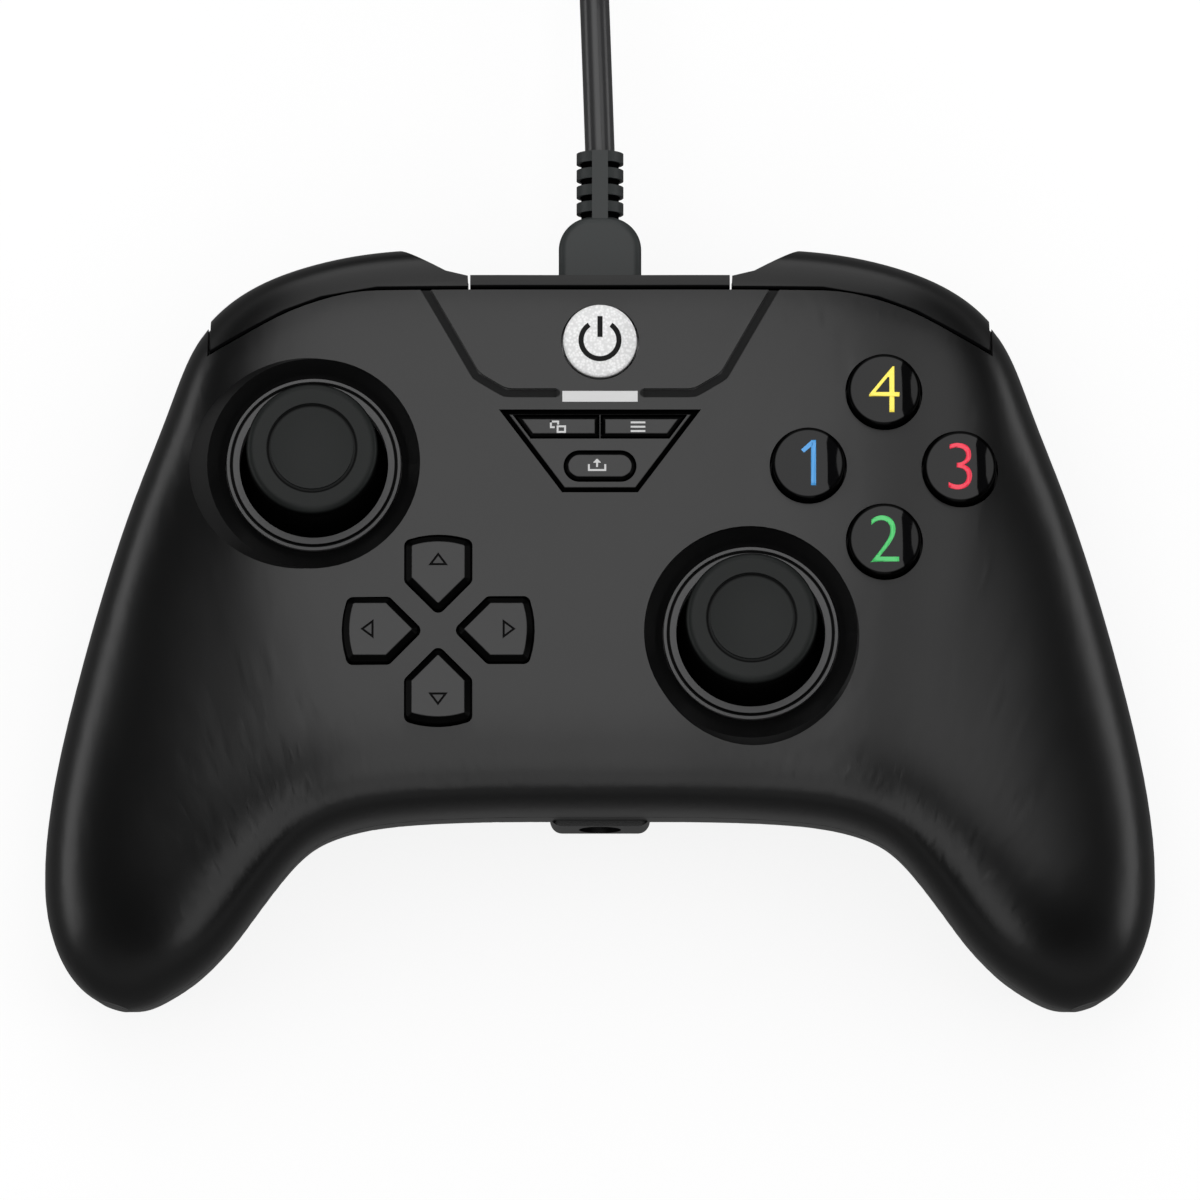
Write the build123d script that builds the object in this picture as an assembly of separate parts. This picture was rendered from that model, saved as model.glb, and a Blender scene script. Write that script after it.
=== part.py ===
from build123d import *
import math
import os

# Wired gamepad in millimetres. It stands on z = 0 with its face up, and its cable leaves along +Y.
# Driving sizes of the body
body_width = 153.0
body_depth = 102.5
face_height = 47.0
wall = 2.4
rib = 1.5
panel_gap = 0.35
seam_gap = 0.2
moving_gap = 0.3
bearing_gap = 0.05
half_width = body_width / 2
half_depth = body_depth / 2

# Each section of the grips' sweep, as shares of half the width, half the depth and the height:
# outer edge x, y, seam z, inner edge x, y, seam z, top outer, inner, underside outer, inner, boxiness
section_shares = (
    (0.000, 0.995, 0.70, 0.000, -0.510, 0.66, 0.985, 0.975, 0.38, 0.34, 1.00),
    (0.180, 1.000, 0.70, 0.125, -0.510, 0.66, 0.985, 0.975, 0.38, 0.34, 1.00),
    (0.365, 1.000, 0.70, 0.250, -0.514, 0.66, 0.980, 0.970, 0.38, 0.335, 0.95),
    (0.525, 0.960, 0.70, 0.360, -0.524, 0.655, 0.965, 0.965, 0.375, 0.325, 0.90),
    (0.650, 0.880, 0.695, 0.440, -0.543, 0.645, 0.935, 0.955, 0.36, 0.31, 0.85),
    (0.725, 0.770, 0.68, 0.495, -0.572, 0.63, 0.905, 0.940, 0.36, 0.30, 0.75),
    (0.775, 0.600, 0.66, 0.535, -0.612, 0.61, 0.875, 0.920, 0.33, 0.26, 0.65),
    (0.840, 0.350, 0.63, 0.575, -0.675, 0.58, 0.835, 0.885, 0.27, 0.20, 0.55),
    (0.900, 0.080, 0.59, 0.617, -0.753, 0.545, 0.790, 0.840, 0.20, 0.13, 0.45),
    (0.952, -0.200, 0.54, 0.660, -0.833, 0.51, 0.735, 0.785, 0.13, 0.06, 0.35),
    (0.987, -0.440, 0.49, 0.702, -0.894, 0.48, 0.685, 0.725, 0.040, -0.010, 0.30),
    (1.000, -0.645, 0.45, 0.740, -0.935, 0.45, 0.630, 0.655, -0.013, -0.033, 0.25),
    (0.985, -0.810, 0.42, 0.780, -0.968, 0.42, 0.560, 0.570, 0.017, 0.017, 0.20),
    (0.935, -0.935, 0.40, 0.820, -0.992, 0.40, 0.480, 0.480, 0.18, 0.19, 0.15),
    (0.902, -0.972, 0.39, 0.848, -0.998, 0.39, 0.430, 0.430, 0.29, 0.30, 0.10),
)
cavity_sections = len(section_shares) - 3
# How full a section's arch is, for a round section and for a boxy one, and where its crown is held
near_rise_shares = (0.30, 0.70)
far_rise_shares = (0.72, 1.00)
far_inset_shares = (0.06, 0.00)
bend_shares = (0.26, 0.09)
crown_shares = (0.35, 0.65)

# Plan line of the top shell's rear edge, from the middle to the side, as shares of half width and depth
rear_line_shares = (
    (0.400, 0.880), (0.498, 0.857), (0.565, 0.8215), (0.642, 0.763), (0.698, 0.720), (0.745, 0.683),
)
rear_line_steps = 14
bridge_half_width = 17.82
bridge_rear = 47.3
bridge_low = 24.5
bumper_inner = 18.15
bumper_outer = 53.6
bumper_low = 34.4
bumper_peak_x = 28.1
bumper_peak_y = 52.1
bumper_waist_x = 21.2
bumper_waist_y = 48.1
bumper_bulge = 0.8
bumper_step = 0.8
bumper_hinge_x = 21.0
bumper_hinge_z = 36.6
bumper_pin_radius = 1.4
bumper_boss_radius = 2.9
bumper_boss_gap = 0.2
arm_reach = 6.5
switch_x = 42.0
switch_y = 40.0
switch_half = 2.0
switch_height = 2.4
switch_play = 1.6

# Trigger bays, triggers and their pins
bay_inner = 26.2
bay_outer = 54.0
bay_front = 36.5
bay_top = 31.2
ceiling_rear = 43.2
trigger_gap = 0.6
trigger_pin_y = 39.9
trigger_pin_z = 27.4
trigger_pin_radius = 1.25
trigger_hub_radius = 2.9
trigger_pin_overrun = 0.4
trigger_outline_inset = 1.2
spring_x = 40.0
spring_slot = 3.6
spring_radius = 2.2
spring_wire = 0.35
spring_turns = 5
spring_pitch = 1.15
tab_low = bay_top + rib + switch_height + switch_play
trigger_profile_shares = (
    (0.858, 0.643), (0.975, 0.630), (0.985, 0.600), (0.946, 0.468), (0.913, 0.298), (0.927, 0.128),
    (0.956, 0.043), (0.940, 0.006), (0.917, 0.000), (0.875, 0.010), (0.839, 0.043), (0.810, 0.255),
    (0.775, 0.480),
)

# Main board and what stands on it
board_top = 28.0
board_thickness = 1.6
board_shares = (
    (0.209, 0.849), (0.209, 0.663), (0.627, 0.663), (0.706, 0.537), (0.706, 0.297), (0.627, 0.078),
    (0.575, -0.240), (0.392, -0.390),
)
board_bottom = board_top - board_thickness

# Controls: places in plan and sizes on the face
stick_places = {"left": (-39.2, 20.8), "right": (20.6, -2.7)}
stick_cap_radius = 9.0
stick_rise = 11.8
stick_pivot_drop = 12.5
surround_radius = 14.6
surround_hole_radius = 12.1
surround_drop = 1.0
bowl_drop = 1.8
rim_drop = 0.3
rim_height = 4.7
rim_flare = 2.7
surround_pad_drop = 3.9
ring_gap = 0.2
ring_inner_radius = 10.2
ring_groove_radius = 11.3
ring_groove_width = 0.4
ring_flange_radius = 13.6
ring_flange_thickness = 1.2
dome_radius = 12.0
dome_thickness = 0.8
dome_polar_share = 0.645
post_radius = 2.0
neck_radius = 3.6
module_half = 6.5
module_wall = 1.0
pot_reach = 9.4
pot_half_width = 3.0
yoke_radius = 4.9
yoke_inner_radius = 3.9
yoke_half_height = 1.2
yoke_shaft_radius = 1.0
pivot_radius = 3.3
pivot_shaft_radius = 0.8
click_switch_radius = 1.6
cap_thickness = 4.6
cap_round = 1.1
cap_groove_radius = 5.6
cap_groove = 0.6
cap_dish = 0.5
post_drop = 2.0
post_travel = 0.5
post_tip = 1.2

face_centre = (38.9, 20.3)
face_spacing = 10.4
face_cap_radius = 5.0
face_cap_rise = 2.6
cap_rim_round = 0.4
face_travel = 1.2
home_place = (0.0, 37.6)
home_radius = 5.05
home_rise = 1.4
home_foot_shift = 1.8
dpad_centre = (-22.1, -2.5)
dpad_reach = 13.2
dpad_width = 9.35
dpad_point = 2.0
dpad_rise = 1.3
dpad_corner = 1.0
dpad_chamfer = 0.85
dpad_spot_share = 0.4
mark_base = 8.8
mark_tip = 10.6
mark_half = 1.35
mark_line = 0.3
mark_depth = 0.25
small_travel = 0.8
collar_drop = 4.0
flange_reach = 1.2
flange_thickness = 1.2
stem_shrink = 1.1
dome_crown_drop = 0.55

# Middle plate with its keys, the light bar and the groove in the face
plate_top_y = 27.9
plate_bottom_y = 16.7
plate_top_half = 13.5
plate_bottom_half = 5.1
plate_z = 45.75
plate_thickness = 2.2
plate_pad_z = 43.0
plate_lip = 1.2
key_top_y = 27.05
key_low_y = 24.3
key_outer_top = 11.4
key_outer_low = 9.35
key_rise = 0.35
key_chamfer = 0.45
plate_chamfer = 0.6
pill_half_width = 4.7
pill_radius = 1.9
pill_y = 20.2
light_y = 29.9
light_width = 10.3
light_depth = 1.5
groove_width = 1.3
groove_depth = 0.5
groove_bend = 3.9
groove_shares = ((0.078, 0.593), (0.170, 0.593), (0.222, 0.640), (0.320, 0.900))

# Rubber mats under the controls
mat_thickness = 1.2
mat_dome_radius = 4.0
mat_dome_top_radius = 2.4
mat_dome_height = 2.7
foot_clearance = 0.2
small_dome_share = 0.6
mat_top = board_top + mat_thickness + mat_dome_height
key_spot_x = (key_outer_low + panel_gap) / 2
key_spot_y = (key_top_y + key_low_y) / 2
home_spot_y = home_place[1] - home_foot_shift
key_flange_top = plate_pad_z - plate_thickness / 2 - foot_clearance

# Socket, plug, jack
usb_axis_rise = 1.5
usb_axis_z = board_top + usb_axis_rise
usb_half_width = 3.8
usb_half_height = 1.45
usb_front = 39.8
usb_back = 44.9
plug_half_width = 3.4
plug_half_height = 0.95
plug_tip_front = 41.2
head_half_width = 5.7
head_half_height = 3.75
head_front = 47.6
head_rear = 57.5
head_corner = 4.6
relief_rear = 66.9
relief_half = 3.25
relief_ribs = 4
relief_core_radius = 2.6
relief_spine_half = 1.1
relief_slot_share = 0.38
boot_round = 1.2
jack_axis_drop = 2.6
jack_axis_z = board_bottom - jack_axis_drop
jack_half_width = 3.1
jack_front = -23.2
jack_rear = -11.5
jack_collar_radius = 2.9
jack_low = 21.4
jack_bore_radius = 1.8
boss_half_width = 6.9
boss_front = -26.8
boss_half_height = 3.4
boss_round = 1.1
boss_corner = 1.7
collar_inset = 0.85

# Rumble motors in the grips
motor_x = 60.0
motor_y = -27.0
motor_length = 10.0
motor_z = 20.5
motor_radius = 8.5
weight_radius = 7.0
weight_thickness = 6.0
weight_hub_radius = 2.0
motor_shaft_radius = 1.0

# Screws
screw_places = ((56.5, 10.0, 33.0), (66.0, -34.5, 24.0), (0.0, -5.0, 36.0))
screw_boss_radius = 4.2
screw_post_radius = 3.2
screw_head_radius = 2.6
screw_head_height = 1.6
screw_radius = 1.25
screw_grip = 5.0
screw_seat = 3.0
board_screw_places = ((22.0, 31.0), (38.5, -12.0))
board_post_radius = 2.6
board_screw_radius = 1.0
board_screw_head_radius = 2.2
board_screw_head_height = 1.3
board_screw_length = 7.0

# Cable: round, about 2.8 m long, with points of its two free stretches chosen by hand
cord_diameter = 4.1
cord_radius = cord_diameter / 2
lead_points = (
    (0.0, 66.9, 29.5), (-1.0, 97.0, 29.5), (-2.4, 128.0, 8.5), (-3.0, 150.0, 3.25), (-3.0, 161.9, 3.25),
)
tail_points = (
    (1.6, 170.1, 17.05), (1.6, 188.0, 17.05), (-5.0, 207.0, 9.0), (-21.0, 219.0, 3.9), (-38.0, 219.0, 3.9),
)
cord_bend_share = 0.45
gap_samples = 8
gap_skipped = 3
coil_pitch = 4.6
coil_outer_radius = 33.4
coil_radii = 5
coil_layers = 4
coil_entry_y = 166.0
coil_rest = 3.25
tie_width = 6.0
tie_thickness = 0.9
tie_gap = 0.5
tie_round = 1.8
usb_a_length = 22.0
usb_a_half_width = 7.6
usb_a_half_height = 3.9
usb_a_round = 1.3
shield_length = 18.5
shield_half_width = 6.0
shield_half_height = 2.25

# Longer than anything that is cut
reach = body_width
nearly_zero = 1e-9
BASE = (Align.CENTER, Align.CENTER, Align.MIN)


def lerp(start, end, share):
    return start + (end - start) * share


def block(x0, x1, y0, y1, z0, z1):
    return Pos(x0, y0, z0) * Box(x1 - x0, y1 - y0, z1 - z0, align=(Align.MIN, Align.MIN, Align.MIN))


def rod(x, y, low, high, radius):
    return Pos(x, y, low) * Cylinder(radius, high - low, align=BASE)


def rod_x(x0, x1, y, z, radius):
    return Pos(x0, y, z) * Rot(0, 90, 0) * Cylinder(radius, x1 - x0, align=BASE)


def rod_y(x, y0, y1, z, radius):
    return Pos(x, y0, z) * Rot(-90, 0, 0) * Cylinder(radius, y1 - y0, align=BASE)


def prism(points, low, high):
    face = make_face(Polyline(*points, close=True))
    return Pos(0, 0, low) * extrude(face, high - low, dir=(0, 0, 1))


def flip(shape):
    return mirror(shape, Plane.YZ)


def joined(shapes):
    first, *rest = shapes
    return first.fuse(*rest) if rest else first


def section_wire(shares, side, inset, upper):
    ox, oy, oz, ix, iy, iz, top_out, top_in, low_out, low_in, boxy = shares
    outer = Vector(side * ox * half_width, oy * half_depth, oz * face_height)
    inner = Vector(side * ix * half_width, iy * half_depth, iz * face_height)
    run = Vector(inner.X - outer.X, inner.Y - outer.Y, 0)
    flat = run.normalized()
    slope = (inner.Z - outer.Z) / run.length
    step = flat * inset + Vector(0, 0, slope * inset)
    outer = outer + step
    inner = inner - step
    width = run.length - inset - inset
    if not upper:
        outer, inner = outer - Vector(0, 0, seam_gap), inner - Vector(0, 0, seam_gap)
    edge_out, edge_in = (top_out, top_in) if upper else (low_out, low_in)
    toward = -inset if upper else inset
    z_out = edge_out * face_height + toward
    z_in = edge_in * face_height + toward

    def at(share, z):
        return Vector(outer.X, outer.Y, 0) + flat * (width * share) + Vector(0, 0, z)

    rise_near = lerp(*near_rise_shares, boxy)
    rise_far = lerp(*far_rise_shares, boxy)
    share_far = lerp(*far_inset_shares, boxy)
    share_bend = lerp(*bend_shares, boxy)
    crown_out, crown_in = crown_shares
    points = (
        at(0, outer.Z),
        at(0, lerp(outer.Z, z_out, rise_near)),
        at(share_far, lerp(outer.Z, z_out, rise_far)),
        at(share_bend, z_out),
        at(crown_out, lerp(z_out, z_in, crown_out)),
        at(crown_in, lerp(z_out, z_in, crown_in)),
        at(1 - share_bend, z_in),
        at(1 - share_far, lerp(inner.Z, z_in, rise_far)),
        at(1, lerp(inner.Z, z_in, rise_near)),
        at(1, inner.Z),
    )
    arch = Bezier(*points).edge()
    if not inset:
        return Wire([arch, Line(inner, outer).edge()])
    past = Vector(0, 0, -inset if upper else inset)
    sides = (Line(inner, inner + past), Line(inner + past, outer + past), Line(outer + past, outer))
    return Wire([arch] + [line.edge() for line in sides])


def half_body(inset, upper, count):
    # A cavity runs past the seam, so that it opens the half that it is cut from.
    left = [section_wire(section_shares[k], -1, inset, upper) for k in range(count - 1, 0, -1)]
    right = [section_wire(section_shares[k], 1, inset, upper) for k in range(count)]
    return Solid.make_loft(left + right)


outer_top = half_body(0, True, len(section_shares))
outer_low = half_body(0, False, len(section_shares))
cavity_top = half_body(wall, True, cavity_sections)
cavity_low = half_body(wall, False, cavity_sections)


def surface_z(x, y):
    line = Edge.make_line((x, y, 0), (x, y, face_height + face_height))
    return max(v.Z for v in outer_top.intersect(line).vertices())


def rear_line(shift):
    # Points along a smooth curve that starts straight across.
    spots = [Vector(x * half_width, y * half_depth) for x, y in rear_line_shares]
    curve = Spline(*spots, tangents=((1, 0), spots[-1] - spots[-2]))
    line = [curve @ (n / rear_line_steps) for n in range(rear_line_steps + 1)]
    return [(spot.X, spot.Y + shift) for spot in line]


def behind_region():
    half = rear_line(0)
    left = [(-x, y) for x, y in reversed(half)]
    ends = [(reach, half[-1][1]), (reach, reach), (-reach, reach), (-reach, half[-1][1])]
    return prism(left + half + ends, 0, reach)


def corner_region(side):
    half = rear_line(0)
    x = side * (bumper_outer + panel_gap)
    return block(min(x, side * reach), max(x, side * reach), half[-1][1] - wall, reach, 0, reach)


def face_places():
    x, y = face_centre
    return {
        "face_button_left": (x - face_spacing, y),
        "face_button_bottom": (x, y - face_spacing),
        "face_button_right": (x + face_spacing, y),
        "face_button_top": (x, y + face_spacing),
    }


dpad_angles = {"dpad_right": 0, "dpad_up": 90, "dpad_left": 180, "dpad_down": 270}


def dpad_face(shrink):
    half = dpad_width / 2 - shrink
    point = dpad_point + shrink * math.sqrt(2)
    tip = dpad_reach - shrink
    side = math.sqrt(tip ** 2 - half ** 2)
    corner = (point + half, half)
    low_corner = (point + half, -half)
    edges = (
        Line((point, 0), corner),
        Line(corner, (side, half)),
        ThreePointArc((side, half), (tip, 0), (side, -half)),
        Line((side, -half), low_corner),
        Line(low_corner, (point, 0)),
    )
    face = make_face(Curve() + edges)
    return fillet(face.vertices(), dpad_corner)


def dpad_prism(angle, shrink, low, high):
    x, y = dpad_centre
    body = extrude(dpad_face(shrink), high - low, dir=(0, 0, 1))
    return Pos(x, y, low) * Rot(0, 0, angle) * body


def dpad_spot(angle):
    turn = math.radians(angle)
    out = (dpad_reach + dpad_width) * dpad_spot_share
    return dpad_centre[0] + out * math.cos(turn), dpad_centre[1] + out * math.sin(turn)


def plate_points(grow):
    slope = (plate_top_half - plate_bottom_half) / (plate_top_y - plate_bottom_y)
    top, low = plate_top_y + grow, plate_bottom_y - grow
    side = grow * math.hypot(1, slope)
    half_top = plate_top_half + side + slope * grow
    half_low = plate_bottom_half + side - slope * grow
    return ((-half_top, top), (half_top, top), (half_low, low), (-half_low, low))


def key_points(side, grow):
    middle = panel_gap - grow
    slope = (key_outer_top - key_outer_low) / (key_top_y - key_low_y)
    edge = grow * math.hypot(1, slope)
    top, low = key_top_y + grow, key_low_y - grow
    points = (
        (side * middle, top), (side * (key_outer_top + edge + slope * grow), top),
        (side * (key_outer_low + edge - slope * grow), low), (side * middle, low),
    )
    return points


def pill(grow, low, high):
    half = pill_half_width - pill_radius
    radius = pill_radius + grow
    return (
        block(-half, half, pill_y - radius, pill_y + radius, low, high)
        + rod(-half, pill_y, low, high, radius)
        + rod(half, pill_y, low, high, radius)
    )


def surround_level(name):
    return surface_z(*stick_places[name])


def surround_rim(name):
    x, y = stick_places[name]
    foot = surround_level(name) - rim_drop - rim_height
    return Pos(x, y, foot) * Cone(surround_radius + rim_flare, surround_radius, rim_height, align=BASE)


def surround_bowl(name):
    x, y = stick_places[name]
    level = surround_level(name)
    depth = bowl_drop - rim_drop
    bowl = Pos(x, y, level - bowl_drop) * Cone(surround_hole_radius, surround_radius, depth, align=BASE)
    return bowl.fuse(rod(x, y, level - rim_drop, reach, surround_radius))


def round_controls():
    places = {name: (place, face_cap_radius) for name, place in face_places().items()}
    places["home_button"] = (home_place, home_radius)
    return places


def groove_region():
    half = [Vector(x * half_width, y * half_depth) for x, y in groove_shares]
    strip = trace(FilletPolyline(*half, radius=groove_bend), groove_width)
    band = extrude(strip, reach, dir=(0, 0, 1))
    return band + flip(band)


def top_pads():
    pads = []
    for name, (x, y) in stick_places.items():
        pads.append(rod(x, y, surround_level(name) - surround_pad_drop, reach, surround_radius + panel_gap))
    for (x, y), radius in round_controls().values():
        low = surface_z(x, y) - collar_drop
        pads.append(rod(x, y, low, reach, radius + moving_gap + rib))
    dpad_low = surface_z(*dpad_centre) - collar_drop
    for angle in dpad_angles.values():
        pads.append(dpad_prism(angle, -moving_gap - rib, dpad_low, reach))
    pads.append(prism(plate_points(plate_lip + rib), plate_pad_z, reach))
    for x, y, split in screw_places:
        for side in (-1, 1) if x else (1,):
            pads.append(rod(side * x, y, split, reach, screw_post_radius))
    return pads


def top_holes():
    holes = []
    for name, (x, y) in stick_places.items():
        low = surround_level(name) - surround_pad_drop
        holes.append(rod(x, y, 0, reach, surround_hole_radius))
        holes.append(rod(x, y, 0, low, ring_flange_radius + moving_gap))
        holes.append(surround_bowl(name))
    for (x, y), radius in round_controls().values():
        low = surface_z(x, y) - collar_drop
        holes.append(rod(x, y, 0, reach, radius + moving_gap))
        holes.append(rod(x, y, 0, low, radius + flange_reach + rib))
    dpad_low = surface_z(*dpad_centre) - collar_drop
    for angle in dpad_angles.values():
        holes.append(dpad_prism(angle, 0, 0, reach))
        holes.append(dpad_prism(angle, -moving_gap - rib, 0, dpad_low))
    holes.append(prism(plate_points(panel_gap / 2), 0, reach))
    holes.append(light_window(0, reach))
    for x, y, split in screw_places:
        for side in (-1, 1) if x else (1,):
            holes.append(rod(side * x, y, 0, split + screw_grip, screw_radius))
    return holes


def light_window(low, high):
    half = light_width / 2
    return block(-half, half, light_y - light_depth / 2, light_y + light_depth / 2, low, high)


def make_top_shell():
    rims = [surround_rim(name) for name in stick_places]
    behind = behind_region() - corner_region(-1) - corner_region(1)
    hollow = cavity_top.cut(*top_pads())
    groove = groove_region() - half_body(groove_depth, True, len(section_shares))
    body = outer_top.fuse(*rims).cut(behind)
    return body.cut(hollow).cut(groove).cut(*top_holes())


def bay_region(grow):
    right = block(bay_inner - grow, bay_outer + grow, bay_front - grow, reach, -reach, bay_top + grow)
    return right + flip(right)


def rear_region(shrink):
    return block(-bay_inner - rib, bay_inner + rib, bridge_rear - shrink, reach, -reach, reach)


def bridge_notch():
    return block(-bridge_half_width, bridge_half_width, bridge_rear - wall - rib, reach, bridge_low, reach)


def jack_boss():
    low = jack_axis_z - boss_half_height
    high = jack_axis_z + boss_half_height
    body = block(-boss_half_width, boss_half_width, boss_front, jack_front, low, high)
    corners = fillet(body.edges().filter_by(Axis.Z).sort_by(Axis.Y)[:2], boss_corner)
    return fillet(body.edges().filter_by(Axis.Y), boss_round) & corners


def make_bottom_shell():
    shell = outer_low.cut(bay_region(0), rear_region(0)).fuse(jack_boss())
    hollow = cavity_low.cut(bay_region(rib), rear_region(wall))
    shell = shell.cut(hollow)
    for side in (-1, 1):
        for x, y, split in screw_places:
            middle = split / 2
            post = rod(side * x, y, 0, middle, screw_boss_radius) & outer_low
            shell = shell.fuse(post, rod(side * x, y, middle, split, screw_boss_radius))
        for x, y in board_screw_places:
            shell = shell.fuse(rod(side * x, y, 0, board_bottom, board_post_radius) & outer_low)
        for y in (motor_y + rib, motor_y + motor_length - rib - rib):
            saddle = block(-motor_radius, motor_radius, y, y + rib, 0, motor_z)
            shell = shell.fuse((Pos(side * motor_x, 0, 0) * saddle) & outer_low)
    ceiling_end = block(bay_inner, bay_outer, ceiling_rear, reach, bay_top - rib, reach)
    jack_room = block(
        -jack_half_width - moving_gap, jack_half_width + moving_gap, jack_front, jack_rear,
        jack_low - moving_gap, board_bottom,
    )
    cuts = [
        bridge_notch(), ceiling_end, flip(ceiling_end), jack_room,
        rod_y(0, boss_front, jack_rear, jack_axis_z, jack_collar_radius),
    ]
    for side in (-1, 1):
        for x, y, split in screw_places:
            cuts.append(rod(side * x, y, 0, split - screw_seat, screw_head_radius + moving_gap))
            cuts.append(rod(side * x, y, 0, split, screw_radius + bearing_gap))
        for x, y in board_screw_places:
            cuts.append(rod(side * x, y, board_top - board_screw_length, board_bottom, board_screw_radius))
        cuts.append(rod_y(side * motor_x, motor_y, motor_y + motor_length, motor_z, motor_radius))
        ends = sorted((side * (bay_inner - rib), side * (bay_outer + trigger_pin_overrun)))
        cuts.append(rod_x(*ends, trigger_pin_y, trigger_pin_z, trigger_pin_radius))
    return shell.cut(*cuts)


def make_bridge():
    front = rear_line(panel_gap)[0][1]
    plate = block(-bridge_half_width, bridge_half_width, front, bridge_rear, bridge_low, reach)
    seam_z = section_shares[0][2] * face_height
    skin = (plate & outer_top).fuse(plate & outer_low)
    web = block(-bridge_half_width, bridge_half_width, front, front + rib, seam_z - wall, seam_z + wall)
    bar_low = bumper_hinge_z - bumper_boss_radius
    bar_high = bumper_hinge_z + bumper_boss_radius
    arm_front = front - arm_reach
    inner = bridge_half_width - bumper_boss_radius
    outer = bumper_hinge_x + bumper_boss_radius
    bar_front = front - bumper_boss_radius
    bar = block(-bridge_half_width, bridge_half_width, bar_front, front, bar_low, bar_high)
    parts = [skin, web, bar]
    for side in (-1, 1):
        cheek = sorted((side * inner, side * bridge_half_width))
        arm = sorted((side * inner, side * outer))
        parts.append(block(*cheek, arm_front, front, bar_low, bar_high))
        parts.append(block(*arm, arm_front, arm_front + rib, bar_low, bar_high))
        parts.append(rod_y(side * bumper_hinge_x, arm_front, front, bumper_hinge_z, bumper_pin_radius))
    slot = block(
        -usb_half_width - rib, usb_half_width + rib, front - rib, bridge_rear,
        usb_axis_z - usb_half_height - rib, usb_axis_z + usb_half_height + rib,
    )
    button_room = rod(*home_place, 0, reach, home_radius + flange_reach + moving_gap)
    return joined(parts).cut(slot, button_room)


def make_bumper():
    line = [(x, y) for x, y in rear_line(panel_gap) if x < bumper_outer]
    front_end = line[-1][1] - panel_gap
    front_y = line[0][1]
    plan = [(bumper_inner, front_y)] + line + [
        (bumper_outer, front_end), (bumper_outer, reach), (bumper_peak_x, reach),
        (bumper_peak_x, bumper_peak_y), (bumper_waist_x, bumper_waist_y), (bumper_inner, bridge_rear),
    ]
    hollow_plan = [
        (bumper_inner + wall, 0), (bumper_outer - wall, 0), (bumper_outer - wall, reach),
        (bumper_peak_x + wall, reach), (bumper_peak_x + wall / 2, bumper_peak_y - wall),
        (bumper_inner + wall, bridge_rear - rib),
    ]
    form = Pos(0, bumper_bulge, -bumper_step) * outer_top
    skin = (prism(plan, bumper_low, reach) & form) - (prism(hollow_plan, 0, reach) & cavity_top)
    boss_front_y = front_y - arm_reach + rib + bumper_boss_gap
    boss = rod_y(bumper_hinge_x, boss_front_y, bridge_rear, bumper_hinge_z, bumper_boss_radius)
    web = block(
        bumper_hinge_x - rib, bumper_hinge_x + rib, front_y + panel_gap, bridge_rear, bumper_hinge_z, reach,
    )
    tab = block(
        switch_x - switch_half - rib, switch_x + switch_half + rib, switch_y - switch_half,
        bumper_peak_y, tab_low, tab_low + rib,
    )
    inside = form & block(0, bumper_outer, 0, bumper_peak_y - rib, bumper_low, reach)
    body = skin.fuse(boss, web & inside, tab & inside)
    bore = rod_y(bumper_hinge_x, 0, front_y + bearing_gap, bumper_hinge_z, bumper_pin_radius + bearing_gap)
    return body.cut(bore)


def make_bumper_switches():
    low = bay_top + rib
    body = block(
        switch_x - switch_half, switch_x + switch_half, switch_y - switch_half, switch_y + switch_half,
        low, low + switch_height,
    )
    return body, flip(body)


def trigger_region():
    outline = [(s[0] * half_width, s[1] * half_depth - trigger_outline_inset) for s in section_shares[1:7]]
    x0, x1 = bay_inner + trigger_gap, bay_outer - trigger_gap
    points = outline + [(outline[-1][0], 0), (0, 0), (0, outline[0][1])]
    return prism(points, -reach, reach) & block(x0, x1, 0, reach, -reach, reach)


def make_trigger():
    profile = [(0, y * half_depth, z * face_height) for y, z in trigger_profile_shares]
    face = Face(Wire(Polyline(*profile, close=True).edges()))
    x0, x1 = bay_inner + trigger_gap, bay_outer - trigger_gap
    paddle = Pos(x0, 0, 0) * extrude(face, x1 - x0, dir=(1, 0, 0))
    hub = rod_x(x0, x1, trigger_pin_y, trigger_pin_z, trigger_hub_radius)
    web = block(
        x0, x1, trigger_pin_y, trigger_profile_shares[0][0] * half_depth,
        trigger_pin_z - trigger_hub_radius, trigger_pin_z + trigger_hub_radius,
    )
    body = paddle.fuse(hub, web) & trigger_region()
    slot = block(
        spring_x - spring_slot, spring_x + spring_slot, 0, trigger_pin_y + trigger_hub_radius + panel_gap,
        trigger_pin_z - trigger_hub_radius - rib, reach,
    )
    bore = rod_x(0, reach, trigger_pin_y, trigger_pin_z, trigger_pin_radius + bearing_gap)
    return body.cut(slot, bore)


def make_trigger_pin():
    return rod_x(
        bay_inner - rib, bay_outer + trigger_pin_overrun, trigger_pin_y, trigger_pin_z, trigger_pin_radius,
    )


def biarc(start, start_way, end, end_way):
    chord = end - start
    ways = start_way + end_way
    spread = 2 * (start_way.dot(end_way) - 1)
    along = chord.dot(ways)
    square = chord.dot(chord)
    if abs(spread) < nearly_zero:
        reach_out = square / (2 * along)
    else:
        reach_out = (along - math.sqrt(along * along - spread * square)) / spread
        if reach_out < 0:
            reach_out = (along + math.sqrt(along * along - spread * square)) / spread
    middle = (start + start_way * reach_out + end - end_way * reach_out) / 2
    first = Edge.make_tangent_arc(start, start_way, middle)
    second = Edge.make_tangent_arc(middle, first % 1, end)
    return first, second


def tube(edges, radius):
    path = Wire(edges)
    way = path % 0
    profile = Plane(origin=path @ 0, z_dir=way) * Circle(radius)
    return sweep(profile, path=path)


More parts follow.
